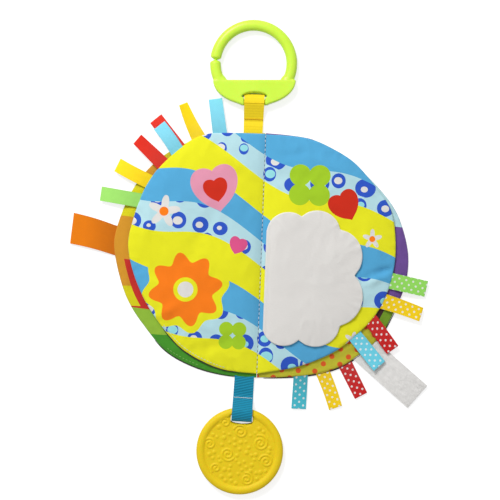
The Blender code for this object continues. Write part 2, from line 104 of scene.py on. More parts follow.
class Nodes:
    def __init__(self, owner):
        owner.use_nodes = True
        self.tree = owner.node_tree

    def add(self, kind, settings, inputs, out=0):
        node = self.tree.nodes.new(kind)
        for name, value in settings.items():
            setattr(node, name, value)
        for key, value in inputs.items():
            if isinstance(value, Wire):
                self.tree.links.new(value.socket, node.inputs[key])
            else:
                node.inputs[key].default_value = value
        return Wire(self, node.outputs[out])

    def split(self, vector):
        first = self.add("ShaderNodeSeparateXYZ", {}, {0: vector})
        return [Wire(self, socket) for socket in first.socket.node.outputs]

    def seen(self):
        # rays that meet the background: the camera's, and those off gloss or through glass
        sockets = self.add("ShaderNodeLightPath", {}, {}).socket.node.outputs
        kinds = ("Camera", "Glossy", "Transmission")
        camera, glossy, through = (Wire(self, sockets[f"Is {kind} Ray"]) for kind in kinds)
        return camera.most(glossy).most(through)


class Shade(Nodes):
    def __init__(self, name, **constants):
        self.material = bpy.data.materials.new(name)
        super().__init__(self.material)
        self.surface = self.tree.nodes["Principled BSDF"]
        for socket, value in constants.items():
            self.surface.inputs[socket.replace("_", " ")].default_value = value

    def cloth(self):
        # a place in millimetres on the flat cloth, its two parts, and its distance from the edge
        place = self.add("ShaderNodeAttribute", {"attribute_name": "place"}, {}, 1)
        return place, *self.split(place)

    def mix(self, mask, under, over):
        return self.add("ShaderNodeMix", {"data_type": "RGBA"}, {0: mask, 6: under, 7: over}, 2)

    def scaled(self, colour, factor):
        colour = colour if isinstance(colour, Wire) else colour[:3]
        return self.add("ShaderNodeVectorMath", {"operation": "SCALE"}, {0: colour, 3: factor})

    def stretched(self, vector, shares):
        return self.add("ShaderNodeVectorMath", {"operation": "MULTIPLY"}, {0: vector, 1: shares})

    def noise(self, vector, scale, detail=2.0):
        return self.add("ShaderNodeTexNoise", {}, {"Vector": vector, "Scale": scale, "Detail": detail})

    def finish(self, colour, rough, height, depth):
        bump = self.add("ShaderNodeBump", {}, {"Strength": 1.0, "Distance": depth * mm, "Height": height})
        for socket, wire in (("Base Color", colour), ("Roughness", rough), ("Normal", bump)):
            self.tree.links.new(wire.socket, self.surface.inputs[socket])
        return self.material


def dye(red, green, blue):  # a colour as a picture shows it, made linear for the shader
    parts = [c / 255 for c in (red, green, blue)]
    return tuple(c / 12.92 if c <= 0.04045 else ((c + 0.055) / 1.055) ** 2.4 for c in parts) + (1.0,)


dyes = {
    "yellow": dye(235, 233, 28),
    "sky": dye(84, 170, 217),
    "pale": dye(184, 223, 231),
    "royal": dye(44, 86, 198),
    "cream": dye(226, 224, 220),
    "orange": dye(252, 126, 16),
    "pink": dye(230, 152, 178),
    "rose": dye(222, 84, 138),
    "leaf": dye(164, 206, 36),
    "red": dye(208, 42, 18),
    "aqua": dye(150, 222, 228),
    "white": dye(240, 240, 238),
}
clothGloss = {"Sheen_Weight": 0.1, "Specular_IOR_Level": 0.2}


# Finishes

weaveSizes = {
    "streaks": (0.3, 2.2, 0), "patches": 0.05, "tone": 0.93, "streakTone": 0.06, "patchTone": 0.06,
    "threadTone": 0.012, "rough": 0.74, "streakRough": 0.16,
}


def wovenCloth(shade, colour, pitch=0.5, depth=0.05):
    # a plain weave, with threads that take the dye a little unevenly
    size = weaveSizes
    place, x, y = shade.cloth()[:3]
    turn = math.tau / pitch
    weave = (x * turn).sine() * (y * turn).sine()
    streaks = shade.noise(shade.stretched(place, size["streaks"]), 1.0)
    patches = shade.noise(place, size["patches"])
    level = size["tone"] + streaks * size["streakTone"] + patches * size["patchTone"]
    tone = shade.scaled(colour, level + weave * size["threadTone"])
    return shade.finish(tone, size["rough"] + streaks * size["streakRough"], weave, depth)


ringSizes = {
    "cell": 16,  # millimetres between rings
    "scatter": 0.55,
    "outer": (0.22, 0.24),  # a ring's least reach, as a share of its cell, and how much more it may have
    "inner": (0.36, 0.36),  # the same of its hole, as shares of the ring
    "squash": (0.8, 0.6, 1.4),
    "slip": 0.45,  # how far holes are out of line
    "whole": 0.12,  # share of the rings without a hole
}


def ringDots(shade, place, x, y, ground):
    # thick uneven rings, some with holes out of line, on a plain ground
    size = ringSizes
    kind = {"voronoi_dimensions": "2D", "feature": "F1"}
    cells = {"Vector": place, "Scale": 1 / size["cell"], "Randomness": size["scatter"]}
    away = shade.add("ShaderNodeTexVoronoi", kind, cells)
    tone, centre = (Wire(shade, away.socket.node.outputs[k]) for k in (1, 2))
    reach, weight, fill = shade.split(tone)
    centreX, centreY = shade.split(centre)[:2]
    dx, dy = x - centreX, y - centreY
    outer = (size["outer"][0] + reach * size["outer"][1]) * size["cell"]
    inner = outer * (size["inner"][0] + weight * size["inner"][1])
    wide, wider, high = size["squash"]
    ring = dx * dx * (wide + weight * wider) + dy * dy < outer * outer
    holeX = dx - outer * (fill - 0.5) * size["slip"]
    holeY = dy + outer * (reach - 0.5) * size["slip"]
    hole = holeX * holeX + holeY * holeY * high < inner * inner
    rings = shade.mix(ring, ground, dyes["royal"])
    return shade.mix(hole * (fill > size["whole"]), rings, shade.mix(fill > 0.5, dyes["cream"], dyes["aqua"]))


def petals(dx, dy, size, count, depth, turn=0.0):
    angle = dy.heading(dx) * count + turn
    return (dx * dx + dy * dy).root() < size * (1 - depth) + angle.sine() * (size * depth)


def disc(dx, dy, size):
    return dx * dx + dy * dy < size * size


def heart(dx, dy, size, lean):
    dx, dy = dx / size, dy / size
    across = dx * math.cos(lean) + dy * math.sin(lean)
    up = dy * math.cos(lean) - dx * math.sin(lean)
    body = across * across + up * up - 1
    return body * body * body < across * across * up * up * up


def clover(dx, dy, size):
    return disc(abs(dx) - size * 0.5, abs(dy) - size * 0.5, size * 0.56)


# Shapes printed on the pages: each with its middle, what its function takes, and its colour
motifs = {
    "leftPagePrint": (
        (petals, (-52, -27), (31, 8, 0.08), "yellow"), (petals, (-52, -27), (26, 8, 0.13), "orange"),
        (disc, (-52, -27), (8.5,), "yellow"), (disc, (-52, -27), (5.5,), "cream"),
        (heart, (-33, 42), (14.5, 0.25), "pink"), (heart, (-33, 42), (7.5, 0.25), "red"),
        (petals, (-69, 27), (11.5, 5, 0.3, 0.6), "cream"), (disc, (-69, 27), (3.2,), "orange"),
        (clover, (-18, -58), (9,), "leaf"), (heart, (-17, 4), (5.5, -0.3), "rose"),
    ),
    "rightPagePrint": (
        (clover, (32, 49), (13.5,), "leaf"), (heart, (58, 34), (9.5, 0.5), "red"),
        (petals, (77, 13), (7, 5, 0.3), "cream"), (disc, (77, 13), (2.1,), "orange"),
        (petals, (66, -58), (6, 5, 0.3, 1.2), "cream"),
    ),
}
waveSizes = {
    "pitch": 66, "ringed": 26, "sky": 45,  # heights at which one band gives way to the next
    "slope": 0.32, "lift": 300, "ripple": (17, 60, 6.5), "swell": (41, 5),
}


def pagePrint(name):
    # broad wavy bands of yellow, ringed pale blue and sky blue, with the motifs on them
    shade = Shade(name, **clothGloss)
    place, x, y = shade.cloth()[:3]
    long, high, ripple = waveSizes["ripple"]
    longer, swell = waveSizes["swell"]
    swing = (x / long + y / high).sine() * ripple + (x / longer).sine() * swell
    drift = (y + swing + x * waveSizes["slope"] + waveSizes["lift"]).wrapped(waveSizes["pitch"])
    ringed = ringDots(shade, place, x, y, dyes["pale"])
    colour = shade.mix(drift < waveSizes["ringed"], ringed, dyes["yellow"])
    colour = shade.mix(drift > waveSizes["sky"], colour, dyes["sky"])
    for shape, (middleX, middleY), sizes, tone in motifs[name]:
        colour = shade.mix(shape(x - middleX, y - middleY, *sizes), colour, dyes[tone])
    return wovenCloth(shade, colour)


# Places on the covers' cloth, in millimetres
coverSizes = {
    "wave": (14, 1.5),  # of the bands' edges
    "leftRim": 6, "leftRimEnds": (-40, 10), "leftRimTurn": -26,
    "cornerFrom": (34, 55),  # violet corner beside the spine
    "dotsBelow": -37, "dotsSlope": 0.12, "dotPitch": (11.6, 10.8), "dot": 1.85,
    "umberInset": 7, "umberEnds": (-44, -30), "umberFrom": 60,
}


def bandedPrint(name, bands):
    # colours that follow each other up the cloth: (height where a band ends, its colour)
    shade = Shade(name, **clothGloss)
    x, y, edge = shade.cloth()[1:]
    long, high = coverSizes["wave"]
    height = y + (x / long).sine() * high
    colour = bands[-1][1]
    for top, tone in reversed(bands[:-1]):
        colour = shade.mix(height < top, colour, tone)
    return shade, x, y, edge, colour


def spotted(shade, x, y, ground, colour, pitch, radius):
    # two lattices of dots, one half a step off both ways
    def lattice(shift):
        dx = (x + (100 + shift) * pitch[0]).wrapped(pitch[0]) - pitch[0] / 2
        dy = (y + (100 + shift) * pitch[1]).wrapped(pitch[1]) - pitch[1] / 2
        return dx * dx + dy * dy
    return shade.mix(lattice(0).least(lattice(0.5)) < radius * radius, ground, colour)


def leftCoverPrint():
    gold, brown = dye(216, 208, 22), dye(212, 148, 40)
    bands = (
        (-58, dye(68, 148, 40)), (-41, dye(146, 188, 58)), (-8, dye(196, 44, 38)), (22, brown), (48, gold),
        (62, dye(204, 146, 44)), (999, dye(204, 194, 40)),
    )
    shade, _, y, edge, colour = bandedPrint("leftCoverPrint", bands)
    low, high = coverSizes["leftRimEnds"]
    rim = (edge < coverSizes["leftRim"]) * (y > low) * (y < high)
    return wovenCloth(shade, shade.mix(rim, colour, shade.mix(y < coverSizes["leftRimTurn"], brown, gold)))


def rightCoverPrint():
    violet, umber = dye(112, 78, 152), dye(60, 36, 38)
    bands = ((-34, dye(118, 160, 40)), (-27, umber), (23, violet), (999, dye(184, 222, 230)))
    size = coverSizes
    shade, x, y, edge, colour = bandedPrint("rightCoverPrint", bands)
    across, up = size["cornerFrom"]
    colour = shade.mix((x < across) * (y > up), colour, violet)
    dots = spotted(shade, x, y, dye(196, 190, 50), dye(222, 92, 36), size["dotPitch"], size["dot"])
    colour = shade.mix(y + x * size["dotsSlope"] < size["dotsBelow"], colour, dots)
    low, high = size["umberEnds"]
    dark = (edge > size["umberInset"]) * (y < high) * (y > low) * (x > size["umberFrom"])
    return wovenCloth(shade, shade.mix(dark, colour, umber))


def backCloth(name, ground, mark, pitch, radius, bandWidth, bandColour):
    # dots, or slanting stripes where the radius is 0, and a plain band beside the spine
    shade = Shade(name, **clothGloss)
    x, y = shade.cloth()[1:3]
    if radius:
        pattern = spotted(shade, x, y, ground, mark, (pitch, pitch), radius)
    else:
        pattern = shade.mix((x * 0.7 + y * 0.7 + 600).wrapped(pitch) < pitch / 2, ground, mark)
    return wovenCloth(shade, shade.mix(abs(x) < bandWidth, pattern, bandColour))


def flapCloth():
    # plain cloth, a little lighter where its edge is turned
    shade = Shade("flapCloth", **clothGloss)
    hem = shade.cloth()[3] < 0.7
    return wovenCloth(shade, shade.mix(hem, dye(226, 223, 219), dye(232, 230, 226)), 0.6, 0.06)


satinSizes = {
    "thread": 0.42, "threadTone": 0.02, "twill": 1.3, "twillSlant": 0.8, "twillTone": 0.012, "gloss": 0.25,
    "glossTone": 0.1, "glossRough": 0.14, "selvedge": 0.45, "selvedgeTone": 0.06, "relief": 0.03,
    "dotPitch": (5.0, 5.9), "dot": 0.76, "dotCover": 0.8,  # how much of a dot's own colour shows
    "rootShadow": 24,  # how far from its root a ribbon is shaded
}


def satin(name, colour, spots=None, rough=0.36, paintedRootShade=0.2):
    # ribbon with fine cross threads, printed dots where it has them, and painted shade towards its root
    size = satinSizes
    shade = Shade(name, Sheen_Weight=0.04, Specular_IOR_Level=0.2)
    place, along, across, edge = shade.cloth()
    threads = (along * (math.tau / size["thread"])).sine()
    tone = colour
    if spots:
        cover = size["dotCover"]
        pale = tuple(cover * s + (1 - cover) * c for s, c in zip(spots, colour))
        tone = spotted(shade, along, across, colour, pale, size["dotPitch"], size["dot"])
    gloss = shade.noise(place, size["gloss"])
    twill = ((along + across * size["twillSlant"]) * (math.tau / size["twill"])).sine()
    # painted shade: each ribbon is darker towards its root, where it meets the page
    level = 1.0 - paintedRootShade + (along / size["rootShadow"]).least(1.0) * paintedRootShade
    level += gloss * size["glossTone"] + threads * size["threadTone"] + twill * size["twillTone"]
    level -= (edge < size["selvedge"]) * size["selvedgeTone"]
    rough = rough + gloss * size["glossRough"]
    return shade.finish(shade.scaled(tone, level), rough, threads, size["relief"])


grosgrainSizes = {
    "thread": 0.5, "fleck": 0.8, "tone": 0.84, "fleckTone": 0.14, "rough": 0.6, "fleckRough": 0.15,
    "threadBump": 0.5, "ribBump": 5, "relief": 0.05,
}


def grosgrain(name, colour, pitch, slant, contrast):
    # heavy ribbed ribbon: the ribs are modelled, and their valleys are also painted darker, as painted shade
    size = grosgrainSizes
    shade = Shade(name, **clothGloss)
    place, along, across = shade.cloth()[:3]
    ribs = ((along + across * slant) * (math.tau / pitch)).sine()
    threads = (across * (math.tau / size["thread"])).sine()
    fleck = shade.noise(place, size["fleck"])
    # painted shade: the colour is darker in the valleys between the ribs
    tone = shade.scaled(colour, size["tone"] + ribs * contrast + fleck * size["fleckTone"])
    height = threads * size["threadBump"] + ribs * (contrast * size["ribBump"])
    return shade.finish(tone, size["rough"] + fleck * size["fleckRough"], height, size["relief"])


labelSizes = {
    "streaks": (0.05, 0.5, 0), "thread": 0.35, "rumples": 0.22, "tone": 0.88, "streakTone": 0.2,
    "threadTone": 0.01, "rough": 0.4, "streakRough": 0.25, "streakBump": 0.4, "threadBump": 0.05,
    "relief": 0.9,
}


def labelSatin():
    # loose white satin, streaked along its length and softly rumpled
    size = labelSizes
    shade = Shade("whiteLabelSatin", Sheen_Weight=0.05)
    place, _, across = shade.cloth()[:3]
    streaks = shade.noise(shade.stretched(place, size["streaks"]), 1.0, 4.0)
    threads = (across * (math.tau / size["thread"])).sine()
    rumples = shade.noise(place, size["rumples"], 3.0)
    level = size["tone"] + streaks * size["streakTone"] + threads * size["threadTone"]
    height = streaks * size["streakBump"] + rumples + threads * size["threadBump"]
    rough = size["rough"] + streaks * size["streakRough"]
    return shade.finish(shade.scaled(dye(236, 234, 231), level), rough, height, size["relief"])


def moulded(name, colour, deep, rough, softness):
    # plastic or silicone: clear colour, faint flow marks and a fine matt texture
    shade = Shade(name, Subsurface_Weight=softness, Subsurface_Scale=2 * mm, Specular_IOR_Level=0.35)
    place = shade.add("ShaderNodeTexCoord", {}, {}, 3)
    flow = shade.noise(place, 60.0, 3.0)
    grain = shade.noise(place, 1800.0)
    return shade.finish(shade.mix(flow, deep, colour), rough + grain * 0.12, grain, 0.02)


def thread(name, colour):
    shade = Shade(name, **clothGloss)
    x, y = shade.split(shade.add("ShaderNodeTexCoord", {}, {}, 3))[:2]
    ply = ((x + y) * (math.tau / (0.4 * mm))).sine()
    return shade.finish(shade.scaled(colour, 0.92 + ply * 0.08), 0.7 + ply * 0.05, ply, 0.04)


def crinkleFilm():
    shade = Shade("crinkleFilmPlastic", IOR=1.45)
    creases = shade.noise(shade.cloth()[0], 0.35, 3.0)
    tone = shade.scaled(dye(214, 220, 226), 0.9 + creases * 0.15)
    return shade.finish(tone, 0.16 + creases * 0.15, creases, 0.3)


# Modelling helpers

def pick(*things):
    # these alone are selected, and the first is active
    bpy.ops.object.select_all(action="DESELECT")
    for thing in things:
        thing.select_set(True)
    bpy.context.view_layer.objects.active = things[0]


def named(name):
    thing = bpy.context.active_object
    thing.name = thing.data.name = name
    return thing


def linked(name, data):
    thing = bpy.data.objects.new(name, data)
    bpy.context.collection.objects.link(thing)
    return thing


def made(name, primitive, **settings):
    bpy.ops.object.select_all(action="DESELECT")
    primitive(**settings)
    return named(name)


def edited(thing, *steps):
    # mesh operators with their settings, each on the whole thing
    pick(thing)
    bpy.ops.object.mode_set(mode="EDIT")
    for operator, settings in steps:
        bpy.ops.mesh.select_all(action="SELECT")
        operator(**settings)
    bpy.ops.object.mode_set(mode="OBJECT")
    return thing


def applied(thing, kind, **settings):
    pick(thing)
    step = thing.modifiers.new(kind, kind)
    for name, value in settings.items():
        setattr(step, name, value)
    bpy.ops.object.modifier_apply(modifier=step.name)
    return thing


def smooth(thing, angle=50):
    pick(thing)
    bpy.ops.object.shade_smooth_by_angle(angle=math.radians(angle))
    return thing


def dressed(thing, material):
    thing.data.materials.clear()
    thing.data.materials.append(material)
    return thing


def joined(name, things):
    pick(*things)
    if len(things) > 1:
        bpy.ops.object.join()
    return named(name)


def closed(thing):
    pick(thing)
    bpy.ops.object.transform_apply(location=True, rotation=True, scale=True)
    merge = bpy.ops.mesh.remove_doubles, {"threshold": 0.01 * mm}
    return edited(thing, merge, (bpy.ops.mesh.normals_make_consistent, {"inside": False}))


def rod(name, radius, points, widths):
    # a round rod along a line of points in millimetres, with its own share of the radius at each
    curve = bpy.data.curves.new(name, "CURVE")
    curve.dimensions = "3D"
    curve.bevel_depth = radius * mm
    curve.bevel_resolution = 2
    curve.use_fill_caps = True
    spline = curve.splines.new("POLY")
    spline.points.add(len(points) - 1)
    for point, place, width in zip(spline.points, points, widths):
        point.co = (*(c * mm for c in place), 1)
        point.radius = width
    thing = linked(name, curve)
    pick(thing)
    bpy.ops.object.convert(target="MESH")
    return closed(thing)


def gridSheet(name, counts, points):
    # a flat grid primitive whose points take their places on the cloth
    across, along = (count - 1 for count in counts)
    grid = bpy.ops.mesh.primitive_grid_add
    thing = made(name, grid, x_subdivisions=across, y_subdivisions=along, size=1)
    thing.data.vertices.foreach_set("co", (np.array(points) * mm).ravel())
    thing.data.update()
    return thing


def facing(thing, up):
    total = sum(face.normal.z * face.area for face in thing.data.polygons)
    return thing if (total > 0) == up else edited(thing, (bpy.ops.mesh.flip_normals, {}))


def keepPlace(thing, values):
    attribute = thing.data.attributes.new("place", "FLOAT_VECTOR", "POINT")
    attribute.data.foreach_set("vector", np.array(values, np.float32).ravel())


def corners(node):
    # lowest and highest corners of a CAD node, and its middle, in millimetres
    low, high = (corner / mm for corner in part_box(node))
    return low, high, (low + high) / 2


def turned(degrees, pivot):
    # a small turn in the plane about an upright line through a point
    place = Vector((pivot[0], pivot[1], 0))
    turn = Matrix.Rotation(math.radians(degrees), 4, "Z")
    return Matrix.Translation(place) @ turn @ Matrix.Translation(-place)


# Outlines of the sewn panels, read from the frame

def rimPoints(node):
    # corners of a panel's edge wall seen from above, from the top of its straight side round to the bottom
    mesh = frame["nodes"][node].data
    found = {}
    for face in mesh.polygons:
        if abs(face.normal.z) < 0.3:
            for index in face.vertices:
                x, y = mesh.vertices[index].co.xy / mm
                found[(round(x, 2), round(y, 2))] = Vector((x, y))
    middle = corners(node)[2]
    inward = -1 if middle.x > 0 else 1

    def turn(point):
        angle = math.atan2(point.y - middle.y, inward * (point.x - middle.x))
        return angle if angle > 0 else angle + math.tau
    return sorted(found.values(), key=turn)


def smoothCurve(points, spacing, corner=30):
    # Catmull-Rom through the points, broken at sharp corners
    breaks = [0]
    for index in range(1, len(points) - 1):
        before = points[index] - points[index - 1]
        after = points[index + 1] - points[index]
        if math.degrees(before.angle(after)) > corner:
            breaks.append(index)
    breaks.append(len(points) - 1)
    curve = []
    for first, last in zip(breaks, breaks[1:]):
        part = points[first:last + 1]
        part = [part[0] * 2 - part[1]] + part + [part[-1] * 2 - part[-2]]
        for a, b, c, d in zip(part, part[1:], part[2:], part[3:]):
            steps = max(2, round((c - b).length / spacing))
            for step in range(steps):
                t = step / steps
                bend = a * 2 - b * 5 + c * 4 - d
                twist = b * 3 - a - c * 3 + d
                curve.append((b * 2 + (c - a) * t + bend * t**2 + twist * t**3) / 2)
    return curve + [points[-1]]


class Outline:
    # curved edge of a panel, closed by its straight side
    def __init__(self, node, spineX=None):
        rim = rimPoints(node)
        if spineX is not None:
            rim[0] = Vector((spineX, rim[0].y))
            rim[-1] = Vector((spineX, rim[-1].y))
        self.curve = np.array([tuple(p) for p in smoothCurve(rim, 1.0)])
        steps = np.linalg.norm(np.diff(self.curve, axis=0), axis=1)
        self.along = np.concatenate([[0], np.cumsum(steps)])
        self.length = self.along[-1]
        self.straight = self.curve[[-1, 0]]
        self.spineLength = abs(self.straight[1, 1] - self.straight[0, 1])

    def at(self, share):
        place = share * self.length
        return np.array([np.interp(place, self.along, self.curve[:, k]) for k in (0, 1)]).T

    def edge(self, points, batch=2000):
        # distance from the curved edge, and how far round it the nearest place is
        a, b = self.curve[:-1], self.curve[1:]
        step = b - a
        size = (step**2).sum(1)
        best = np.zeros(len(points))
        where = np.zeros(len(points))
        for start in range(0, len(points), batch):
            part = points[start:start + batch, None, :]
            t = np.clip(((part - a) * step).sum(2) / size, 0, 1)
            away = np.linalg.norm(part - (a + t[..., None] * step), axis=2)
            nearest = away.argmin(1)
            rows = np.arange(len(nearest))
            best[start:start + batch] = away[rows, nearest]
            where[start:start + batch] = self.along[nearest] + t[rows, nearest] * np.sqrt(size[nearest])
        return best, where

    def spine(self, points):
        return np.abs(points[:, 0] - self.straight[0, 0])

    def holds(self, points):
        # which points lie inside the outline
        ring = np.concatenate([self.curve, self.curve[:1]])
        x, y = points[:, 0], points[:, 1]
        inside = np.zeros(len(points), bool)
        for (ax, ay), (bx, by) in zip(ring, ring[1:]):
            crosses = (ay > y) != (by > y)
            with np.errstate(divide="ignore", invalid="ignore"):
                level = ax + (y - ay) * (bx - ax) / (by - ay)
            inside ^= crosses & (x < level)
        return inside


def stations(length, cell, start, end):
    # shares of a length: close rows near each end and even ones between
    low, high = start[-1], length - end[-1]
    count = max(2, round((high - low) / cell))
    rows = [0, *start[:-1]] + [low + (high - low) * k / count for k in range(count + 1)]
    rows += [length - e for e in reversed(end[:-1])] + [length]
    return np.array(rows) / length


def patch(outline, cell, rows):
    # points of a cloth grid that follows the outline: spine, curved edge, top and bottom
    corner = leafSizes["cornerShare"]
    width = np.abs(outline.curve[:, 0] - outline.straight[0, 0]).max()
    us = stations(width, cell, leafSizes["spineRows"], rows)
    vs = stations(outline.spineLength, cell, rows, rows)
    v, u = np.meshgrid(vs, us, indexing="ij")

    def at(share):
        return outline.at(share.ravel()).reshape(*share.shape, 2)
    low, high = outline.straight
    left = low + (high - low) * v[..., None]
    right = at((1 - v) * (1 - corner) + v * corner)
    over = at(u * corner)
    under = at(1 - u * corner)
    farLow, farHigh = outline.at(np.array([1 - corner, corner]))
    u, v = u[..., None], v[..., None]
    ruled = (1 - u) * left + u * right + (1 - v) * under + v * over
    twist = (1 - u) * ((1 - v) * low + v * high) + u * ((1 - v) * farLow + v * farHigh)
    return (len(us), len(vs)), (ruled - twist).reshape(-1, 2)


def fan(outline, reach, cell):
    # points of a cloth grid that runs from the middle of a lobed outline to its edge all round
    low, high = outline.straight
    side = np.linspace(0, 1, round(outline.spineLength) + 1)[1:-1, None]
    ring = np.concatenate([outline.curve, low + (high - low) * side, outline.curve[:1]])
    middle = (outline.curve.min(0) + outline.curve.max(0)) / 2
    shares = stations(reach, cell, (cell,), leafSizes["rows"])
    points = middle + (ring[:, None, :] - middle) * shares[None, :, None]
    return (len(shares), len(ring)), points.reshape(-1, 2)


# Heights of the stacked leaves, in millimetres

leafSizes = {
    "cell": 1.6,
    "rows": (0.1, 0.3, 0.6, 1.0, 1.6, 2.6),  # of the grid beside a sewn edge
    "spineRows": (0.8, 2.2, 4.5),
    "cornerShare": 0.21,  # of the way round a leaf, where its grid has a corner
    "rim": 0.95,  # half a leaf's thickness at its edge
    "roll": 1.15,  # how far in the edge is rounded
    "spineRim": 0.6,  # share of the rim's height that is left beside the spine
    "spineRoll": 3.5,
    "swell": 1.6,  # more thickness in the middle
    "swellReach": 15,
    "spineReach": 9,
    "clearance": 0.4,
    "cloth": 0.35,
    "spineX": 0.2,
    "hidden": (0.35, 4),  # share of a cover's relief under its page, and how far out it grows to the full
    "seam": 8,  # cloth turned in all round
    "gutter": 5,  # strip beside the spine that is sewn to the left page
}
reliefSizes = {
    "broad": (34, 27), "fine": (10, 12), "fineDepth": 0.42, "wander": 13, "pucker": 1.4, "puckerReach": 4.5,
    "puckerDepth": 0.32, "edgeReach": 6, "spineReach": 8, "puckerSpine": 5, "foldDepth": 1.6, "foldReach": 3,
    "seed": {"left_page": 1.3, "right_page": 4.1, "left_cover": 7.7, "right_cover": 9.2, "cloud_flap": 12.4},
}
# Places, headings, lengths, widths and rises of the few folds that show, in millimetres and degrees
foldLines = {
    "left_page": (
        (-66, -44, 35, 14, 3, 0.7), (-30, -66, 15, 16, 4, -0.6), (-82, 12, 80, 13, 3.5, 0.6),
        (-20, 62, -30, 15, 3.5, 0.5), (-44, 8, 60, 22, 5, -0.5),
    ),
    "right_page": (
        (86, -9, 15, 8, 2.2, -1.1), (80, -16, 25, 9, 2.5, 0.8), (78, 8, -60, 16, 4, 0.5),
        (48, 62, -25, 16, 4, 0.5), (20, 70, 10, 12, 3, -0.4), (60, -62, 40, 12, 3, 0.6),
    ),
    "left_cover": ((-94, -20, 80, 16, 3, 0.4), (-60, -70, 40, 14, 3, 0.4)),
    "right_cover": ((97, 10, 85, 18, 3, 0.4), (55, -72, 25, 20, 3, -0.4)),
    "cloud_flap": (
        (25, 5, 40, 16, 5, 0.1), (50, -20, -70, 18, 6, 0.14), (22, -38, -20, 15, 5, 0.1),
        (60, -30, 10, 9, 4, 0.1),
    ),
}


def rolled(away):
    share = np.clip(away / leafSizes["roll"], 0, 1)
    return np.sqrt(np.clip(1 - (1 - share) ** 2, 0, 1))


def swollen(outline, points):
    away = np.where(outline.holds(points), outline.edge(points)[0], 0)
    edge = 1 - np.exp(-away / leafSizes["swellReach"])
    spine = 1 - np.exp(-outline.spine(points) / leafSizes["spineReach"])
    return leafSizes["swell"] * edge * spine


def edgeRoll(outline, points):
    low = leafSizes["spineRim"]
    spine = low + (1 - low) * np.clip(outline.spine(points) / leafSizes["spineRoll"], 0, 1) ** 0.7
    return np.minimum(rolled(outline.edge(points)[0]), spine)


def leafBase(leaf, points):
    # the table under a cover, or the cover under a page
    if leaf.endswith("cover"):
        return np.zeros(len(points))
    cover = outlines[leaf.replace("page", "cover")]
    return leafSizes["rim"] * 2 + swollen(cover, points) + leafSizes["clearance"]


def roughness(points, scale, seed):
    return np.array([noise.noise((x / scale[0], y / scale[1], seed)) for x, y in points])


def wrinkles(key, points, depth):
    # soft hollows, crinkles of the film below and puckers where the edge is sewn
    size, outline, seed = reliefSizes, outlines[key], reliefSizes["seed"][key]
    away, where = outline.edge(points)
    spine = outline.spine(points)
    broad = roughness(points, size["broad"], seed)
    fine = roughness(points, size["fine"], seed + 5)
    wander = np.array([noise.noise((place / size["wander"], seed, 2)) for place in where])
    pucker = np.sin(where / size["pucker"] + wander * 5)
    pucker = pucker * np.exp(-away / size["puckerReach"]) * (0.5 + wander)
    free = np.clip(away / size["edgeReach"], 0, 1) * np.clip((spine - 1) / size["spineReach"], 0, 1)
    total = depth * (broad + size["fineDepth"] * (1 - 2 * np.abs(fine))) * free
    total += size["puckerDepth"] * pucker * np.clip(spine / size["puckerSpine"], 0, 1)
    for x, y, heading, length, width, rise in foldLines[key]:
        turn = math.radians(heading)
        dx, dy = points[:, 0] - x, points[:, 1] - y
        u = (dx * math.cos(turn) + dy * math.sin(turn)) / length
        v = (dy * math.cos(turn) - dx * math.sin(turn)) / width
        total += size["foldDepth"] * rise * np.exp(-u**2 - v**2) * np.clip(away / size["foldReach"], 0, 1)
    return total


def leafTop(leaf, points, share=1.0):
    # upper face of a leaf, with a share of its relief; a cover's folds show only past the edge of its page
    outline = outlines[leaf]
    depth = 1.0
    if leaf.endswith("cover"):
        page = outlines[leaf.replace("cover", "page")]
        past = np.where(page.holds(points), 0, page.edge(points)[0])
        least, reach = leafSizes["hidden"]
        depth = least + (1 - least) * np.clip(past / reach, 0, 1)
    rim = leafSizes["rim"] * (1 + edgeRoll(outline, points))
    return leafBase(leaf, points) + rim + swollen(outline, points) + wrinkles(leaf, points, depth) * share


def sewnCloth(name, outline, heights, up, grid=None):
    counts, points = grid or patch(outline, leafSizes["cell"], leafSizes["rows"])
    thing = gridSheet(name, counts, np.column_stack([points, heights(points)]))
    keepPlace(thing, np.column_stack([points, outline.edge(points)[0]]))
    return facing(edited(thing, (bpy.ops.mesh.remove_doubles, {"threshold": 0.002 * mm})), up)


def cutAt(thing, x):
    # the strip beside the spine becomes a piece of its own
    edited(thing, (bpy.ops.mesh.bisect, {"plane_co": (x * mm, 0, 0), "plane_no": (1, 0, 0)}))
    for face in thing.data.polygons:
        face.select = abs(face.center.x) < abs(x * mm)
    before = set(bpy.data.objects)
    bpy.ops.object.mode_set(mode="EDIT")
    bpy.ops.mesh.select_mode(type="FACE")
    bpy.ops.mesh.separate(type="SELECTED")
    bpy.ops.object.mode_set(mode="OBJECT")
    return next(thing for thing in bpy.data.objects if thing not in before)


def clothBody(thing):
    return smooth(applied(thing, "SOLIDIFY", thickness=leafSizes["cloth"] * mm, offset=-1))


print("outlines")
outlines = {"cloud_flap": Outline("cloud_flap")}
for leaf in ("left_cover", "right_cover", "left_page", "right_page"):
    side = -1 if leaf.startswith("left") else 1
    outlines[leaf] = Outline(leaf + "_front_panel", side * leafSizes["spineX"])


def declareLeaf(outline, cutOff=0):
    # cutOff is the width of the strip beside the spine that is a piece of its own
    x, y = outline.curve.T
    area = abs(np.dot(x, np.roll(y, 1)) - np.dot(y, np.roll(x, 1))) / 2 * mm**2
    area -= cutOff * outline.spineLength * mm**2


# Where cloth bends as the leaves turn: the bodies that it joins, and where its bend starts and ends
bends = {
    "left_cover": ("left_cover", "right_cover", -9, 0),
    "gutter": ("left_cover", "right_cover", -leafSizes["gutter"], 0),
    "left_page": ("left_page", "left_cover", -22, -leafSizes["gutter"]),
    "right_page": ("right_page", "right_cover", 14.5, 0),
}


def bend(thing, key):
    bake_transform(thing)


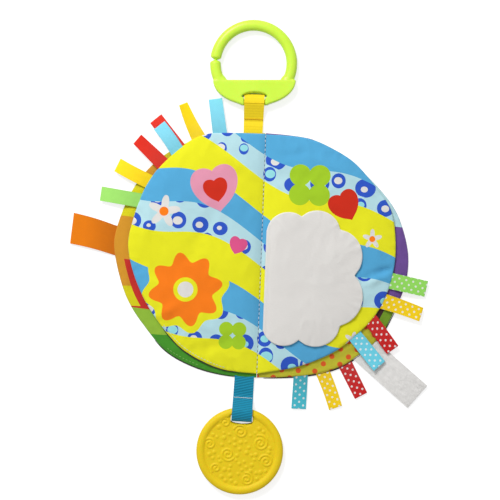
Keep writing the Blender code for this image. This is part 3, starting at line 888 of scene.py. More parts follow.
def makeLeaf(leaf, frontFinish, backFinish):
    outline = outlines[leaf]
    gutter = leafSizes["gutter"] if leaf == "left_page" else 0

    def top(points):
        return leafTop(leaf, points)

    def bottom(points):
        return leafBase(leaf, points) + leafSizes["rim"] * (1 - edgeRoll(outline, points))
    below = "floor" if leaf.endswith("cover") else leaf.replace("page", "cover") + "_front_cloth"
    for part, heights, finish, restsOn in (
        ("front", top, frontFinish, f"{leaf}_back_cloth"), ("back", bottom, backFinish, below),
    ):
        thing = sewnCloth(f"{leaf}_{part}_cloth", outline, heights, part == "front")
        if gutter:
            strip = clothBody(cutAt(thing, -gutter))
            strip.name = f"{leaf}_{part}_gutter"
            dressed(strip, finish)
            bend(strip, "gutter")
        dressed(clothBody(thing), finish)
        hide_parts(f"{leaf}_{part}_panel")
        if leaf in bends:
            bend(thing, leaf)
        else:
            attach(thing, leaf)
        declareLeaf(outline, gutter)


filmSizes = {
    "level": 1.15, "crinkle": 0.35, "scale": (6, 6), "under": 0.25, "thick": 0.06, "cell": 3.0,
    "rows": (0.5, 1.5),
}


def makeFilm(leaf, material):
    # thin plastic that rustles between the two cloths
    node = leaf + "_crinkle_film"
    outline = Outline(node)

    def level(points):
        crinkle = roughness(points, filmSizes["scale"], reliefSizes["seed"][leaf] + 3)
        free = leafBase(leaf, points) + filmSizes["level"] + filmSizes["crinkle"] * crinkle
        return np.minimum(free, leafTop(leaf, points) - leafSizes["cloth"] - filmSizes["under"])
    grid = patch(outline, filmSizes["cell"], filmSizes["rows"])
    thing = sewnCloth(leaf + "_rustle_film", outline, level, True, grid)
    smooth(applied(thing, "SOLIDIFY", thickness=filmSizes["thick"] * mm, offset=0))
    dressed(thing, material)
    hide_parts(node)
    if leaf.endswith("page"):
        bend(thing, leaf)
    else:
        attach(thing, leaf)
    declareLeaf(outline)


makeLeaf("right_cover", rightCoverPrint(), backCloth(
    "rightCoverBack", dye(112, 80, 152), dyes["pink"], 18, 3, 14, dye(88, 60, 128),
))
makeLeaf("left_cover", leftCoverPrint(), backCloth(
    "leftCoverBack", dye(140, 184, 70), dyes["yellow"], 18, 3.4, 14, dye(96, 150, 48),
))
print("covers")
makeLeaf("right_page", pagePrint("rightPagePrint"), backCloth(
    "rightPageBack", dye(214, 206, 60), dye(150, 196, 66), 16, 0, 18, dye(122, 176, 56),
))
makeLeaf("left_page", pagePrint("leftPagePrint"), backCloth(
    "leftPageBack", dye(96, 174, 214), dyes["cream"], 16, 2.6, 25, dye(64, 144, 190),
))
print("pages")
film = crinkleFilm()
for leaf in ("left_cover", "right_cover", "left_page", "right_page"):
    makeFilm(leaf, film)
print("films")


# Cloud-shaped flap, blank, sewn down along its left edge

flapSizes = {
    "half": 0.6, "cloth": 0.3, "roundness": 1.6, "swell": 0.25, "swellReach": 6, "crumple": 0.16, "lift": 0.1,
    "bridge": 0.35, "above": 0.4, "clear": 0.15, "hinge": 6.0, "reach": 38, "cell": 1.6,
    "seamInset": 2.6, "seamDepth": 0.3, "seamWidth": 0.6,
}


def makeFlap():
    size = flapSizes
    outline = outlines["cloud_flap"]

    def base(points):
        # the flap bridges the hollows of the page
        bridged = leafTop("right_page", points, size["bridge"]) + size["above"]
        return np.maximum(bridged, leafTop("right_page", points) + size["clear"])

    def roundEdge(points):
        away = np.minimum(outline.edge(points)[0], outline.spine(points))
        return rolled(away * size["roundness"])

    def top(points):
        puff = size["swell"] * (1 - np.exp(-outline.edge(points)[0] / size["swellReach"]))
        crumple = np.maximum(0, wrinkles("cloud_flap", points, size["crumple"]) + size["lift"])
        across = (outline.spine(points) - size["seamInset"]) / size["seamWidth"]
        seam = size["seamDepth"] * np.exp(-across**2)
        return base(points) + size["half"] * (1 + roundEdge(points)) + puff + crumple - seam

    def bottom(points):
        return base(points) + size["half"] * (1 - roundEdge(points))
    parts = []
    for part, heights, up in (("front", top, True), ("back", bottom, False)):
        grid = fan(outline, size["reach"], size["cell"])
        thing = sewnCloth(f"cloud_flap_{part}", outline, heights, up, grid)
        parts.append(applied(thing, "SOLIDIFY", thickness=size["cloth"] * mm, offset=-1))
    flap = smooth(joined("cloud_flap_cloth", parts))
    dressed(flap, flapCloth())
    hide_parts("cloud_flap")
    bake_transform(flap)


makeFlap()
print("flap")


# Ribbons: a flat band that follows a line, with its own length and width to draw on

def band(name, line, cells, thick, ribs=None):
    # line holds (middle, sideways vector of half the width); cells is their number over the width
    points, place, run = [], [], 0
    for index, (middle, half) in enumerate(line):
        if index:
            run += (middle - line[index - 1][0]).length
        for side in np.linspace(0, 1, cells + 1) * 2 - 1:
            points.append(tuple(middle + half * side))
            place.append((run, side * half.length, half.length * (1 - abs(side))))
    thing = gridSheet(name, (cells + 1, len(line)), points)
    keepPlace(thing, place)
    applied(thing, "SOLIDIFY", thickness=thick * mm, offset=0)
    if ribs:
        pitch, slant, depth = ribs
        thing.data.update()
        marks = thing.data.attributes["place"].data
        for vert in thing.data.vertices:
            along, over = marks[vert.index].vector[:2]
            wave = math.sin(math.tau * (along + over * slant) / pitch)
            vert.co = vert.co + vert.normal * (depth * mm * wave)
    return smooth(thing)


tagSizes = {
    "tuck": 2.6,  # length sewn into the seam
    "gap": 0.5,  # between the two layers' middles
    "layer": 0.26,
    "steps": 22,
    "foldSteps": 6,
    "cells": 6,
}
# How each tag hangs: droop at its fold, its curl, twist in degrees, bow to its left, then how far its
# root and its fold have slipped
tagHang = {
    "left_light_blue_tag_upper": (-1.2, 0.5, 4, 0.0, (1.3, 0), (1.4, 0.4)),
    "left_yellow_tag_upper": (0.8, 0.6, 42, 0.45, (0.4, 0), (0.8, 0.7)),
    "left_red_tag_upper": (-1.6, 0.4, -6, 0.0, (0, 0), (0, 0)),
    "left_light_blue_tag_lower": (-0.2, 0.6, 8, -0.4, (0.5, 0), (2.4, 0)),
    "left_red_tag_lower": (-0.8, 0.7, -14, 0.0, (0.6, 0), (1.5, 0.4)),
    "left_yellow_tag_lower": (-1.4, 0.5, 5, 0.3, (0, 0), (0.4, 0.6)),
    "left_green_tag": (-1.0, 0.7, -5, 0.0, (0, 0.4), (0.5, 0.8)),
    "left_orange_wide_tag": (0.9, 0.8, -3, -0.6, (0, 0.3), (0.8, 0.5)),
    "right_green_dotted_tag": (-1.2, 0.6, 4, 0.0, (0.1, 0.1), (-0.3, 0.3)),
    "right_yellow_dotted_tag": (-0.6, 0.8, -9, 0.3, (0, 0), (-0.4, -0.2)),
    "right_red_dotted_tag": (-0.2, 0.6, 6, 0.0, (-0.6, 0.3), (-1.1, 0.3)),
    "right_light_blue_dotted_tag": (0.3, 0.5, -6, 0.0, (-0.8, 0.2), (-1.6, 0.4)),
    "right_white_label": (0.5, 0.9, 2, 0.0, (-1.0, -1.2), (-1.2, -1.5)),
    "lower_teal_dotted_tag": (0.4, 0.5, -4, 0.0, (-1.5, -0.6), (-1.7, 0.4)),
    "lower_yellow_dotted_tag": (0.6, 0.7, 7, 0.4, (-0.8, -1.2), (-0.8, -1.5)),
    "lower_red_dotted_tag": (0.5, 0.5, -3, 0.0, (-0.9, -1.4), (-0.9, -1.6)),
}
foldTurn = {"left_orange_wide_tag": 7.7}  # degrees that a fold's line turns in the plane
widerTags = {"right_green_dotted_tag": 1.13, "right_yellow_dotted_tag": 1.1}
raisedTags = {"left_red_tag_upper": -0.35, "left_light_blue_tag_lower": 0.35}  # two that cross stay clear


def planCorners(node):
    # root and fold of a tag seen from above, each from its right to its left
    found = {}
    for vert in frame["nodes"][node].data.vertices:
        found[(round(vert.co.x / mm, 2), round(vert.co.y / mm, 2))] = vert.co.xy / mm
    points = sorted(found.values(), key=lambda p: p.length)
    root, fold = points[:2], points[2:]
    middle = (root[0] + root[1]) / 2
    ahead = (fold[0] + fold[1]) / 2 - middle
    left = Vector((-ahead.y, ahead.x))
    return [sorted(pair, key=lambda p: (p - middle).dot(left)) for pair in (root, fold)]


def makeTag(node, leaf, slot, material):
    droop, curl, twist, bow, rootSlip, foldSlip = tagHang[node]
    ends = []
    for pair, slip, degrees in zip(planCorners(node), (rootSlip, foldSlip), (0, foldTurn.get(node, 0))):
        pair = [point + Vector(slip) for point in pair]
        middle = (pair[0] + pair[1]) / 2
        turn = turned(degrees, middle)
        pair = [(turn @ point.to_3d()).xy for point in pair]
        ends.append((middle, [middle + (point - middle) * widerTags.get(node, 1) for point in pair]))
    (rootMiddle, root), (foldMiddle, fold) = ends
    ahead = foldMiddle - rootMiddle
    length = ahead.length
    ahead.normalize()
    left = Vector((-ahead.y, ahead.x))
    seam = float(leafBase(leaf, np.array([tuple(rootMiddle)]))[0]) + leafSizes["rim"]
    level = seam + raisedTags.get(node, 0)
    tuck, gap, steps = tagSizes["tuck"], tagSizes["gap"], tagSizes["steps"]
    width = (fold[1] - fold[0]).length / 2
    floorLevel = gap / 2 + tagSizes["layer"]

    def spot(run, lift):
        share = max(0, run / length)
        middle = rootMiddle + ahead * run + left * bow * math.sin(math.pi * min(share, 1))
        half = ((root[1] - root[0]) * (1 - share) + (fold[1] - fold[0]) * share) / 2
        rise = math.sin(math.radians(twist) * share**1.5) * width
        wave = curl * math.sin(math.pi * share) + droop * share**1.6
        height = max(level + wave, floorLevel + abs(rise)) + lift
        return Vector((*middle, height)), Vector((*half, rise))
    line = [spot(-tuck + (length + tuck) * k / steps, gap / 2) for k in range(steps + 1)]
    for k in range(1, tagSizes["foldSteps"]):
        turn = math.pi * k / tagSizes["foldSteps"]
        line.append(spot(length + math.sin(turn) * gap / 2, math.cos(turn) * gap / 2))
    line += [spot(length - (length + tuck) * k / steps, -gap / 2) for k in range(steps + 1)]
    thing = band(node + "_ribbon", line, tagSizes["cells"], tagSizes["layer"])
    dressed(thing, material)
    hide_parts(node)
    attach(thing, leaf)


# Part of a tag's name, a slot name, and its finish
ribbons = (
    ("white_label", "white_label", labelSatin()),
    ("green_dotted", "dotted_green", satin("greenDottedSatin", dye(150, 222, 96), dyes["white"])),
    ("yellow_dotted", "dotted_yellow", satin("yellowDottedSatin", dye(244, 206, 0), dyes["white"])),
    ("red_dotted", "dotted_red", satin("redDottedSatin", dye(196, 18, 18), dyes["white"])),
    ("blue_dotted", "dotted_light_blue", satin("lightBlueDottedSatin", dye(104, 206, 228), dyes["white"])),
    ("teal_dotted", "dotted_teal", satin("tealDottedSatin", dye(72, 188, 206), dyes["white"], 0.36, 0.42)),
    ("light_blue", "satin_light_blue", satin("lightBlueSatin", dye(128, 214, 236))),
    ("yellow", "satin_yellow", satin("yellowSatin", dye(255, 220, 10))),
    ("red", "satin_red", satin("redSatin", dye(220, 42, 24))),
    ("green", "satin_green", satin("greenSatin", dye(162, 228, 110))),
    ("orange", "orange_ribbon", satin("orangeRibbon", dye(228, 122, 0), None, 0.62, 0.34)),
)
for body, members in frame["record"]["behaviour"]["bodies"].items():
    for node in members:
        if node in tagHang:
            makeTag(node, body, *next(row[1:] for row in ribbons if row[0] in node))
print("tags")


# Straps that hold the link and the teether

strapSizes = {
    "thick": 0.9, "woven": 0.81, "tuck": 1.5, "spacing": 0.22, "cells": 10, "barGap": 0.3, "over": 120,
    "bend": (3, 0.5), "holes": 10, "holeSpread": 0.93, "zigzag": 0.16, "thread": 0.34, "threadLift": 0.2,
    "hanging_strap": {
        "reach": 20.8, "stitch": 9.0, "inner": 2.3, "slack": 2.8, "barHeight": 3.6, "under": -120,
        "way": 1, "ribs": (1.9, 0.0, 0.012), "turn": 0.0, "widths": (0.94, 1.0),
    },
    "teether_strap": {
        "reach": 24.1, "stitch": 14.0, "inner": 3.33, "slack": 2.5, "barHeight": 4.28, "under": -90,
        "way": -1, "ribs": (1.9, -0.28, 0.07), "turn": -1.5, "widths": (0.99, 1.03),
    },
}


def makeStrap(node, material, threadFinish):
    size = {**strapSizes, **strapSizes[node]}
    low, high, middle = corners(node)
    way, stitch, x = size["way"], size["stitch"], middle.x
    edge = low.y if way > 0 else high.y
    halfWidth = (high.x - low.x) / 2
    rootLevel = leafSizes["rim"]
    layer = size["thick"] / 2
    bar = Vector((size["reach"] - size["barGap"], size["barHeight"] - rootLevel))
    wrap = size["inner"] + layer
    path = [Vector((run, -layer)) for run in (-size["tuck"], stitch * 0.5, stitch)]
    for degrees in range(size["under"], size["over"] + 1, 15):
        turn = math.radians(degrees)
        stretch = wrap + (size["slack"] if abs(degrees) < 90 else 0)
        path.append(bar + Vector((math.cos(turn) * stretch, math.sin(turn) * wrap)))
    path += [Vector((run, layer)) for run in (stitch, stitch * 0.5, -size["tuck"])]
    turn = turned(size["turn"], (x, edge))
    across = turn.to_3x3() @ Vector((halfWidth, 0, 0))
    rootWidth, endWidth = size["widths"]
    line = []
    for point in smoothCurve(path, size["spacing"], 180):
        place = turn @ Vector((x, edge + way * point.x, rootLevel + point.y))
        share = min(1, max(0, point.x / size["reach"]))
        line.append((place, across * (rootWidth * (1 - share) + endWidth * share)))
    strap = band(node + "_webbing", line, size["cells"], size["woven"], size["ribs"])
    dressed(strap, material)
    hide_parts(node)
    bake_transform(strap)
    middle = turn @ Vector((x, edge + way * stitch, rootLevel + size["thick"] + size["threadLift"]))
    holes = []
    for k in range(size["holes"]):
        sideways = across * (k / ((size["holes"] - 1) / 2) - 1) * size["holeSpread"]
        holes.append(middle + sideways + Vector((0, size["zigzag"] * (-1) ** k, 0)))
    stitchRow(node + "_stitches", zip(holes, holes[1:]), size["thread"], threadFinish, node)


def stitchRow(name, spots, radius, material, body):
    # thread showing between one needle hole and the next
    sample = made(name, bpy.ops.mesh.primitive_uv_sphere_add, segments=8, ring_count=6, radius=1)
    copies = []
    for start, end in spots:
        middle, step = (start + end) / 2, end - start
        size = Matrix.Diagonal((radius, radius * 0.8, step.length / 2, 1))
        aim = step.to_track_quat("Z", "X").to_matrix().to_4x4()
        copy = linked(name, sample.data.copy())
        copy.data.transform(Matrix.Scale(mm, 4) @ Matrix.Translation(middle) @ aim @ size)
        copies.append(copy)
    bpy.data.objects.remove(sample)
    row = smooth(joined(name, copies), 180)
    dressed(row, material)
    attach(row, body)


makeStrap(
    "hanging_strap", grosgrain("yellowWebbing", dye(255, 224, 30), 1.9, 0.0, 0.03),
    thread("yellowThread", dye(232, 172, 16)),
)
makeStrap(
    "teether_strap", grosgrain("tealGrosgrain", dye(14, 136, 170), 1.9, -0.28, 0.17),
    thread("whiteThread", dye(226, 238, 238)),
)
print("straps")


# Moulded pieces: shapes are joined, fused by a fine remesh and softened

def softened(thing, rounds):
    return smooth(applied(thing, "SMOOTH", factor=0.5, iterations=rounds), 60)


def fused(name, things, voxel):
    return applied(joined(name, things), "REMESH", mode="VOXEL", voxel_size=voxel * mm)


def swept(name, radius, centre, reach, first, last, steps):
    # a round bar bent about a centre, from one angle to another
    start = math.radians(first)
    x, y, z = centre
    thing = made(
        name, bpy.ops.mesh.primitive_circle_add, vertices=32, radius=radius * mm, fill_type="NGON",
        rotation=(math.radians(90), 0, start),
        location=((x + reach * math.cos(start)) * mm, (y + reach * math.sin(start)) * mm, z * mm),
    )
    spin = {"steps": steps, "angle": math.radians(first - last), "axis": (0, 0, 1)}
    return closed(edited(thing, (bpy.ops.mesh.spin, {**spin, "center": [c * mm for c in centre]})))


def ball(name, radius, place):
    return closed(made(
        name, bpy.ops.mesh.primitive_uv_sphere_add, segments=32, ring_count=20, radius=radius * mm,
        location=[c * mm for c in place],
    ))


def plate(name, outline, thick, level):
    # an outline extruded to a plate
    circle = bpy.ops.mesh.primitive_circle_add
    thing = made(name, circle, vertices=len(outline), fill_type="NGON", radius=1)
    for vert, (x, y) in zip(thing.data.vertices, outline):
        vert.co = (x * mm, y * mm, (level - thick / 2) * mm)
    rise = {"TRANSFORM_OT_translate": {"value": (0, 0, thick * mm)}}
    return closed(edited(thing, (bpy.ops.mesh.extrude_region_move, rise)))


def tapered(thing, middle, shares):
    # the lower face of a cutter drawn in, so that the wall that it leaves slopes
    low = min(vert.co.z for vert in thing.data.vertices)
    for vert in thing.data.vertices:
        if vert.co.z - low < 0.01 * mm:
            vert.co.x = (middle[0] + (vert.co.x / mm - middle[0]) * shares[0]) * mm
            vert.co.y = (middle[1] + (vert.co.y / mm - middle[1]) * shares[1]) * mm
    return thing


def cutWith(thing, cutter):
    applied(thing, "BOOLEAN", operation="DIFFERENCE", object=cutter, solver="EXACT")
    bpy.data.objects.remove(cutter)


def flattened(thing, level, share):
    for vert in thing.data.vertices:
        vert.co.z = (level + (vert.co.z / mm - level) * share) * mm


def necked(thing, middle, reach, radius):
    # the part of a rim inside a strap kept round about one straight line, so that it can turn there
    x, y, z = middle
    for vert in thing.data.vertices:
        up, out = vert.co.y / mm - y, vert.co.z / mm - z
        away = math.hypot(up, out)
        if abs(vert.co.x / mm - x) < reach and up < 0 and radius < away < 2 * radius:
            vert.co.y = (y + up * radius / away) * mm
            vert.co.z = (z + out * radius / away) * mm


def lump(name, radii, degrees, centre, reach):
    # an egg shape on a circle, its second radius along the circle
    turn = math.radians(degrees)
    thing = ball(name, 1, (0, 0, 0))
    thing.data.transform(Matrix.Diagonal((*radii, 1)))
    thing.data.transform(Matrix.Rotation(turn, 4, "Z"))
    x, y, z = centre
    place = (x + reach * math.cos(turn), y + reach * math.sin(turn), z)
    thing.data.transform(Matrix.Translation([c * mm for c in place]))
    return thing


linkSizes = {
    "tube": 3.85, "tubeHeight": 3.5, "bar": 2.0, "baseHalf": 29.0, "baseDeep": 17.8, "baseThick": 7.2,
    "baseSteps": 48, "bevel": 1.6, "flat": 2, "slotWidth": 18.2, "slotHeight": 7.7, "slotSide": 3.7,
    "slotSteps": 16, "slotTaper": (1.0, 0.7), "passWidth": 15.0, "ringReach": 26.75, "ringSteps": 90,
    "ringSlip": (-0.6, -0.5), "heel": (3.8, 9.0, 3.7), "heelSlip": 1.2, "gapTurn": 174.6, "gap": 0.6,
    "tip": 2.0, "foot": 3.0, "over": 3.0, "voxel": 0.42, "softening": 8, "turn": 2.1,
}


def makeLink():
    size = linkSizes
    low, high, middle = corners("hanging_link")
    x, z = middle.x, middle.z
    barY = low.y + size["bar"]
    tube, thick, over = size["tube"], size["baseThick"], size["over"]
    half, side, narrow = size["slotWidth"] / 2, size["slotSide"], size["passWidth"] / 2
    reach = size["ringReach"]
    slipX, slipY = size["ringSlip"]
    centre = (x + slipX, high.y - tube - reach + slipY, z)
    flatY = low.y + size["baseDeep"]
    outline = []
    for k in range(size["baseSteps"] + 1):
        turn = math.pi * (k / size["baseSteps"] - 0.5)
        across = size["baseHalf"] * math.sin(turn)
        sag = size["baseDeep"] * (1 - math.cos(turn))
        sag *= min(1, max(0, (abs(across) - half + size["flat"]) / (half / 2)))
        outline.append((x + across, low.y + sag))
    base = plate("linkBase", outline, thick, z)
    corner = math.radians(40)
    applied(base, "BEVEL", width=size["bevel"] * mm, segments=4, limit_method="ANGLE", angle_limit=corner)
    arch = [(x - narrow, low.y - over), (x + narrow, low.y - over), (x + narrow, barY + side)]
    for k in range(size["slotSteps"] + 1):
        turn = math.pi * k / size["slotSteps"]
        rise = side + (size["slotHeight"] - side) * math.sin(turn)
        arch.append((x + half * math.cos(turn), barY + rise))
    arch.append((x - narrow, barY + side))
    cutWith(base, tapered(plate("linkSlot", arch, thick + 0.4, z), (x, barY), size["slotTaper"]))
    footTurn = math.degrees(math.asin((centre[1] - flatY) / reach) + size["foot"] / reach)
    gapHalf = math.degrees((size["gap"] / 2 + size["tip"]) / reach)
    parts = [base]
    for name, first, last in (
        ("linkLongArm", size["gapTurn"] - gapHalf, -footTurn),
        ("linkShortArm", size["gapTurn"] + gapHalf, 180 + footTurn),
    ):
        parts.append(swept(name, tube, centre, reach, first, last, size["ringSteps"]))
        parts.append(lump(name + "Tip", (tube, size["tip"], tube), first, centre, reach))
        parts.append(lump(name + "Heel", size["heel"], last, centre, reach - size["heelSlip"]))
    for part in parts[1:]:
        flattened(part, z, size["tubeHeight"] / tube)
    parts.append(closed(made(
        "linkBar", bpy.ops.mesh.primitive_cylinder_add, vertices=32, radius=size["bar"] * mm,
        depth=(2 * half + 1) * mm, rotation=(0, math.radians(90), 0), location=(x * mm, barY * mm, z * mm),
    )))
    link = softened(fused("hanging_link_ring", parts, size["voxel"]), size["softening"])
    link.data.transform(turned(size["turn"], (x * mm, barY * mm)))
    dressed(link, moulded("limePlastic", dye(208, 243, 74), dye(196, 236, 56), 0.3, 0.15))
    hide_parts("hanging_link")
    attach(link, "hanging_link")


teetherSizes = {
    "rim": 3.05, "rimHeight": 2.6, "web": 2.8, "slotWidth": 15.3, "slotSide": 4.5, "slotHeight": 7.3,
    "slotTaper": (1.0, 0.66), "slotLift": 0.8, "slotSteps": 12, "neck": 2.85, "voxel": 0.36, "softening": 3,
    "steps": 120,
    # middle and reach of each spiral as shares of the disc's radius, then its start angle and its turns
    "spirals": (
        (-0.37, 0.635, 0.115, 40, 1.4), (-0.01, 0.45, 0.165, 200, 1.9), (0.46, 0.22, 0.185, 120, 2.0),
        (-0.7, 0.13, 0.135, 300, 1.6), (-0.27, -0.08, 0.165, 10, 1.9), (0.62, -0.19, 0.16, 250, 1.8),
        (-0.52, -0.42, 0.12, 90, 1.4), (0.2, -0.63, 0.15, 180, 1.8),
    ),
    "ridge": 0.66, "spiralStart": 0.5, "spiralSteps": 60, "bumps": 50, "bumpSizes": (1.9, 2.7),
    "bumpSunk": 0.76, "bumpSpace": 2.9, "bumpClear": 1.4, "bumpEdge": 1.5, "slotClear": 2,
}


def makeTeether():
    size = teetherSizes
    low, high, middle = corners("teether")
    x, y = middle.x, middle.y
    radius = (high.x - low.x) / 2
    z = low.z + size["rimHeight"]
    half, rim, steps = size["web"] / 2, size["rim"], size["steps"]
    ring = radius - rim
    outline = []
    for k in range(steps):
        turn = math.tau * k / steps
        outline.append((x + ring * math.cos(turn), y + ring * math.sin(turn)))
    rimTube = swept("teetherRim", rim, (x, y, z), ring, 0, 360, steps)
    flattened(rimTube, z, size["rimHeight"] / rim)
    necked(rimTube, (x, y + ring, z), size["slotWidth"] / 2 + 0.4, size["neck"])
    parts = [rimTube, plate("teetherWeb", outline, size["web"], z)]
    start, steps = size["spiralStart"], size["spiralSteps"]
    for index, (across, up, reach, degrees, turns) in enumerate(size["spirals"]):
        spots = []
        for k in range(steps + 1):
            turn = math.radians(degrees) + math.tau * turns * k / steps
            away = start + (reach * radius - start) * k / steps
            dx, dy = away * math.cos(turn), away * math.sin(turn)
            spots.append((x + across * radius + dx, y + up * radius + dy, z + half))
        parts.append(rod(f"teetherSpiral{index}", size["ridge"], spots, [1.0] * len(spots)))
    slotTop, halfSlot = ring - rim, size["slotWidth"] / 2
    side, deep, clear = size["slotSide"], size["slotHeight"], size["slotClear"]
    placed = []
    while len(placed) < size["bumps"]:
        turn, away = random.uniform(0, math.tau), math.sqrt(random.random()) * (slotTop - size["bumpEdge"])
        spot = Vector((math.cos(turn), math.sin(turn))) * away
        near = [(spot - Vector(s[:2]) * radius).length - s[2] * radius for s in size["spirals"]]
        near += [(spot - other).length - size["bumpSpace"] + size["bumpClear"] for other in placed]
        inSlot = spot.y > slotTop - deep - clear and abs(spot.x) < halfSlot + clear
        if min(near) > size["bumpClear"] and not inSlot:
            bump = random.uniform(*size["bumpSizes"])
            level = z + half - bump * size["bumpSunk"]
            parts.append(ball(f"bump{len(placed)}", bump, (x + spot.x, y + spot.y, level)))
            placed.append(spot)
    body = fused("teether_disc", parts, size["voxel"])
    lifted = y + slotTop + size["slotLift"]  # the rim is thinner inside the strap, where it turns
    arch = [(x + halfSlot, lifted), (x - halfSlot, lifted)]
    for k in range(size["slotSteps"] + 1):
        turn = math.pi * k / size["slotSteps"]
        arch.append((x - halfSlot * math.cos(turn), y + slotTop - side - (deep - side) * math.sin(turn)))
    slot = plate("teetherSlot", arch, size["web"] + 0.6, z)
    cutWith(body, tapered(slot, (x, y + slotTop), size["slotTaper"]))
    softened(body, size["softening"])
    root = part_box("teether_strap")[1].y
    body.data.transform(turned(strapSizes["teether_strap"]["turn"], (x * mm, root)))
    dressed(body, moulded("yellowSilicone", dye(236, 206, 0), dye(226, 194, 0), 0.55, 0.1))
    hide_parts("teether")
    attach(body, "teether")


makeLink()
print("link")
makeTeether()
print("teether")


# Spine: sewn core between the leaves, with its row of stitches on top

spineSizes = {
    "half": 0.55, "inset": 0.4, "sunk": 0.4, "foot": 0.2, "bevel": 0.3, "start": 0.8, "pitch": 3.1,
    "show": 2.0, "thread": 0.42, "above": 0.1, "sway": 0.12,
}


def makeSpine():
    size = spineSizes
    low, high, middle = corners("spine_seam")
    ys = np.linspace(low.y + size["inset"], high.y - size["inset"], 120)
    spots = np.column_stack([np.full(len(ys), -leafSizes["spineX"]), ys])
    levels = leafBase("left_page", spots) + leafSizes["rim"] * (1 + edgeRoll(outlines["left_page"], spots))
    core = made("spine_core", bpy.ops.mesh.primitive_cube_add, size=1)
    top, foot = float(levels.min()) - size["sunk"], size["foot"]
    sizes = Matrix.Diagonal((2 * size["half"] * mm, (high.y - low.y - 1) * mm, (top - foot) * mm, 1))
    core.data.transform(Matrix.Translation((0, middle.y * mm, (top + foot) / 2 * mm)) @ sizes)
    smooth(applied(core, "BEVEL", width=size["bevel"] * mm, segments=3))
    dressed(core, thread("spineCore", dye(86, 100, 124)))
    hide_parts("spine_seam")
    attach(core, "right_cover")
    stitches = []
    y = low.y + size["start"]
    while y + size["show"] < high.y:
        level = float(np.interp(y, ys, levels)) + size["above"]
        sway = size["sway"] * math.sin(y * 0.7)
        stitches.append((Vector((sway, y, level)), Vector((sway, y + size["show"], level))))
        y += size["pitch"]
    finish = thread("spineThread", dye(206, 214, 222))
    stitchRow("spine_stitches", stitches, size["thread"], finish, "right_cover")


def edgeStitches(leaf, material):
    # topstitching beside a leaf's curved edge, between two shares of the way round it
    size = topstitches[leaf]
    outline = outlines[leaf]
    middle = outline.curve.mean(0)
    stitches = []
    place = size["first"] * outline.length
    while place + size["show"] < size["last"] * outline.length:
        ends = []
        for at in (place, place + size["show"]):
            point, ahead = outline.at(np.array([at, at + 0.5]) / outline.length)
            normal = np.array([ahead[1] - point[1], point[0] - ahead[0]])
            normal = normal / np.linalg.norm(normal)
            if normal @ (middle - point) < 0:
                normal = -normal
            spot = point + normal * size["inset"]
            level = float(leafTop(leaf, spot[None, :])[0]) + seamSizes["above"]
            ends.append(Vector((*spot, level)))
        stitches.append(tuple(ends))
        place += size["pitch"]
    stitchRow(leaf + "_topstitch", stitches, seamSizes["thread"], material, leaf)


def edgeBindingAndShadow(leaf, material):
    # a thin dark edge under a leaf, thinner towards its ends: partly turned-in cloth, partly painted shadow
    # in the gap under the leaf's edge
    size = bindingsAndShadows[leaf]
    outline = outlines[leaf]
    first, last = size["first"], size["last"]
    spots = outline.at(np.linspace(first, last, round((last - first) * outline.length / seamSizes["cell"])))
    ahead = np.gradient(spots, axis=0)
    normals = np.column_stack([ahead[:, 1], -ahead[:, 0]]) / np.linalg.norm(ahead, axis=1)[:, None]
    if (normals * (spots - outline.curve.mean(0))).sum() < 0:
        normals = -normals
    outer = spots + normals * size["radius"] * seamSizes["outward"]
    places = np.column_stack([outer, leafBase(leaf, spots) + size["level"]])
    thin = seamSizes["thin"]
    widths = thin + (1 - thin) * np.sin(np.linspace(0, math.pi, len(spots))) ** 0.8
    thing = smooth(rod(leaf + "_binding", size["radius"], places, widths), 80)
    dressed(thing, material)
    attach(thing, leaf)


seamSizes = {
    "thread": 0.24, "above": 0.08, "cell": 1.5, "outward": 0.6,
    "thin": 0.3,  # share of a binding-and-shadow rod's radius at its ends
}
topstitches = {
    "left_page": {"first": 0.725, "last": 0.925, "inset": 1.8, "show": 1.8, "pitch": 2.4},
    "left_cover": {"first": 0.775, "last": 0.865, "inset": 2.2, "show": 1.7, "pitch": 2.6},
}
bindingsAndShadows = {
    "right_cover": {"first": 0.62, "last": 0.985, "level": 0.75, "radius": 0.7},
    "left_cover": {"first": 0.74, "last": 0.955, "level": 0.6, "radius": 0.5},
    "left_page": {"first": 0.735, "last": 0.95, "level": 0.45, "radius": 0.55},
}
makeSpine()
edgeStitches("left_page", thread("paleThread", dye(196, 214, 228)))
# dark thread for the bindings, which also stand for painted shadow under the leaves' edges
bindingShadowThread = thread("darkEdgeAndShadow", dye(52, 42, 44))
for leaf in bindingsAndShadows:
    edgeBindingAndShadow(leaf, bindingShadowThread)
edgeStitches("left_cover", thread("greenThread", dye(150, 200, 110)))
print("stitching")


# Floor, light and camera

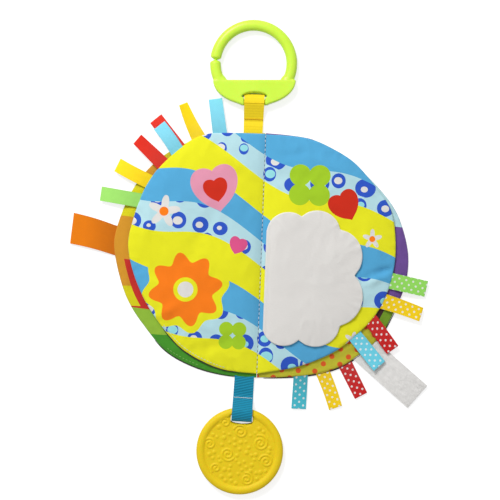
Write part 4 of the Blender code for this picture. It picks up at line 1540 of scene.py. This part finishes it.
stageSizes = {
    "field": 350.0, "centre": (-8.0, 2.2), "roll": 2.146, "lens": 100.0, "sensor": 36.0, "level": 4.0,
    "lampPlace": (-0.5, 0.85, 0.95), "lampSize": 0.5, "lampPower": 14.5, "roomLevel": 0.5, "floorGlow": 0.7,
}


def makeFloor():
    floor = made("floor", bpy.ops.mesh.primitive_plane_add, size=6, location=(0, 0, -0.05 * mm))
    shade = Shade("whiteFloor", Roughness=0.9, Specular_IOR_Level=0.0, Base_Color=(0.5, 0.5, 0.5, 1))
    glow = {"Color": (1, 1, 1, 1), "Strength": shade.seen() * stageSizes["floorGlow"]}
    lit = shade.add("ShaderNodeEmission", {}, glow)
    body = Wire(shade, shade.surface.outputs[0])
    both = shade.add("ShaderNodeAddShader", {}, {0: body, 1: lit})
    shade.tree.links.new(both.socket, shade.tree.nodes["Material Output"].inputs["Surface"])
    floor.data.materials.append(shade.material)


def makeLight():
    world = bpy.context.scene.world = bpy.data.worlds.new("paleRoom")
    room = Nodes(world)
    back = room.tree.nodes["Background"]
    back.inputs["Color"].default_value = (1, 1, 1, 1)
    level = stageSizes["roomLevel"] + room.seen() * (1 - stageSizes["roomLevel"])
    room.tree.links.new(level.socket, back.inputs["Strength"])
    lamp = bpy.data.lights.new("softBox", "AREA")
    lamp.shape = "DISK"
    lamp.size = stageSizes["lampSize"]
    lamp.energy = stageSizes["lampPower"]
    box = linked("softBox", lamp)
    box.location = stageSizes["lampPlace"]
    box.rotation_euler = (-box.location).to_track_quat("-Z", "Y").to_euler()


def makeCamera():
    lens = bpy.data.cameras.new("camera")
    lens.lens = stageSizes["lens"]
    lens.sensor_width = stageSizes["sensor"]
    camera = linked("camera", lens)
    away = stageSizes["field"] * stageSizes["lens"] / stageSizes["sensor"]
    x, y = stageSizes["centre"]
    camera.location = (x * mm, y * mm, (away + stageSizes["level"]) * mm)
    camera.rotation_euler = (0, 0, math.radians(stageSizes["roll"]))
    bpy.context.scene.camera = camera
    bpy.context.scene.view_settings.view_transform = "Standard"


makeFloor()
makeLight()
makeCamera()
print("stage")
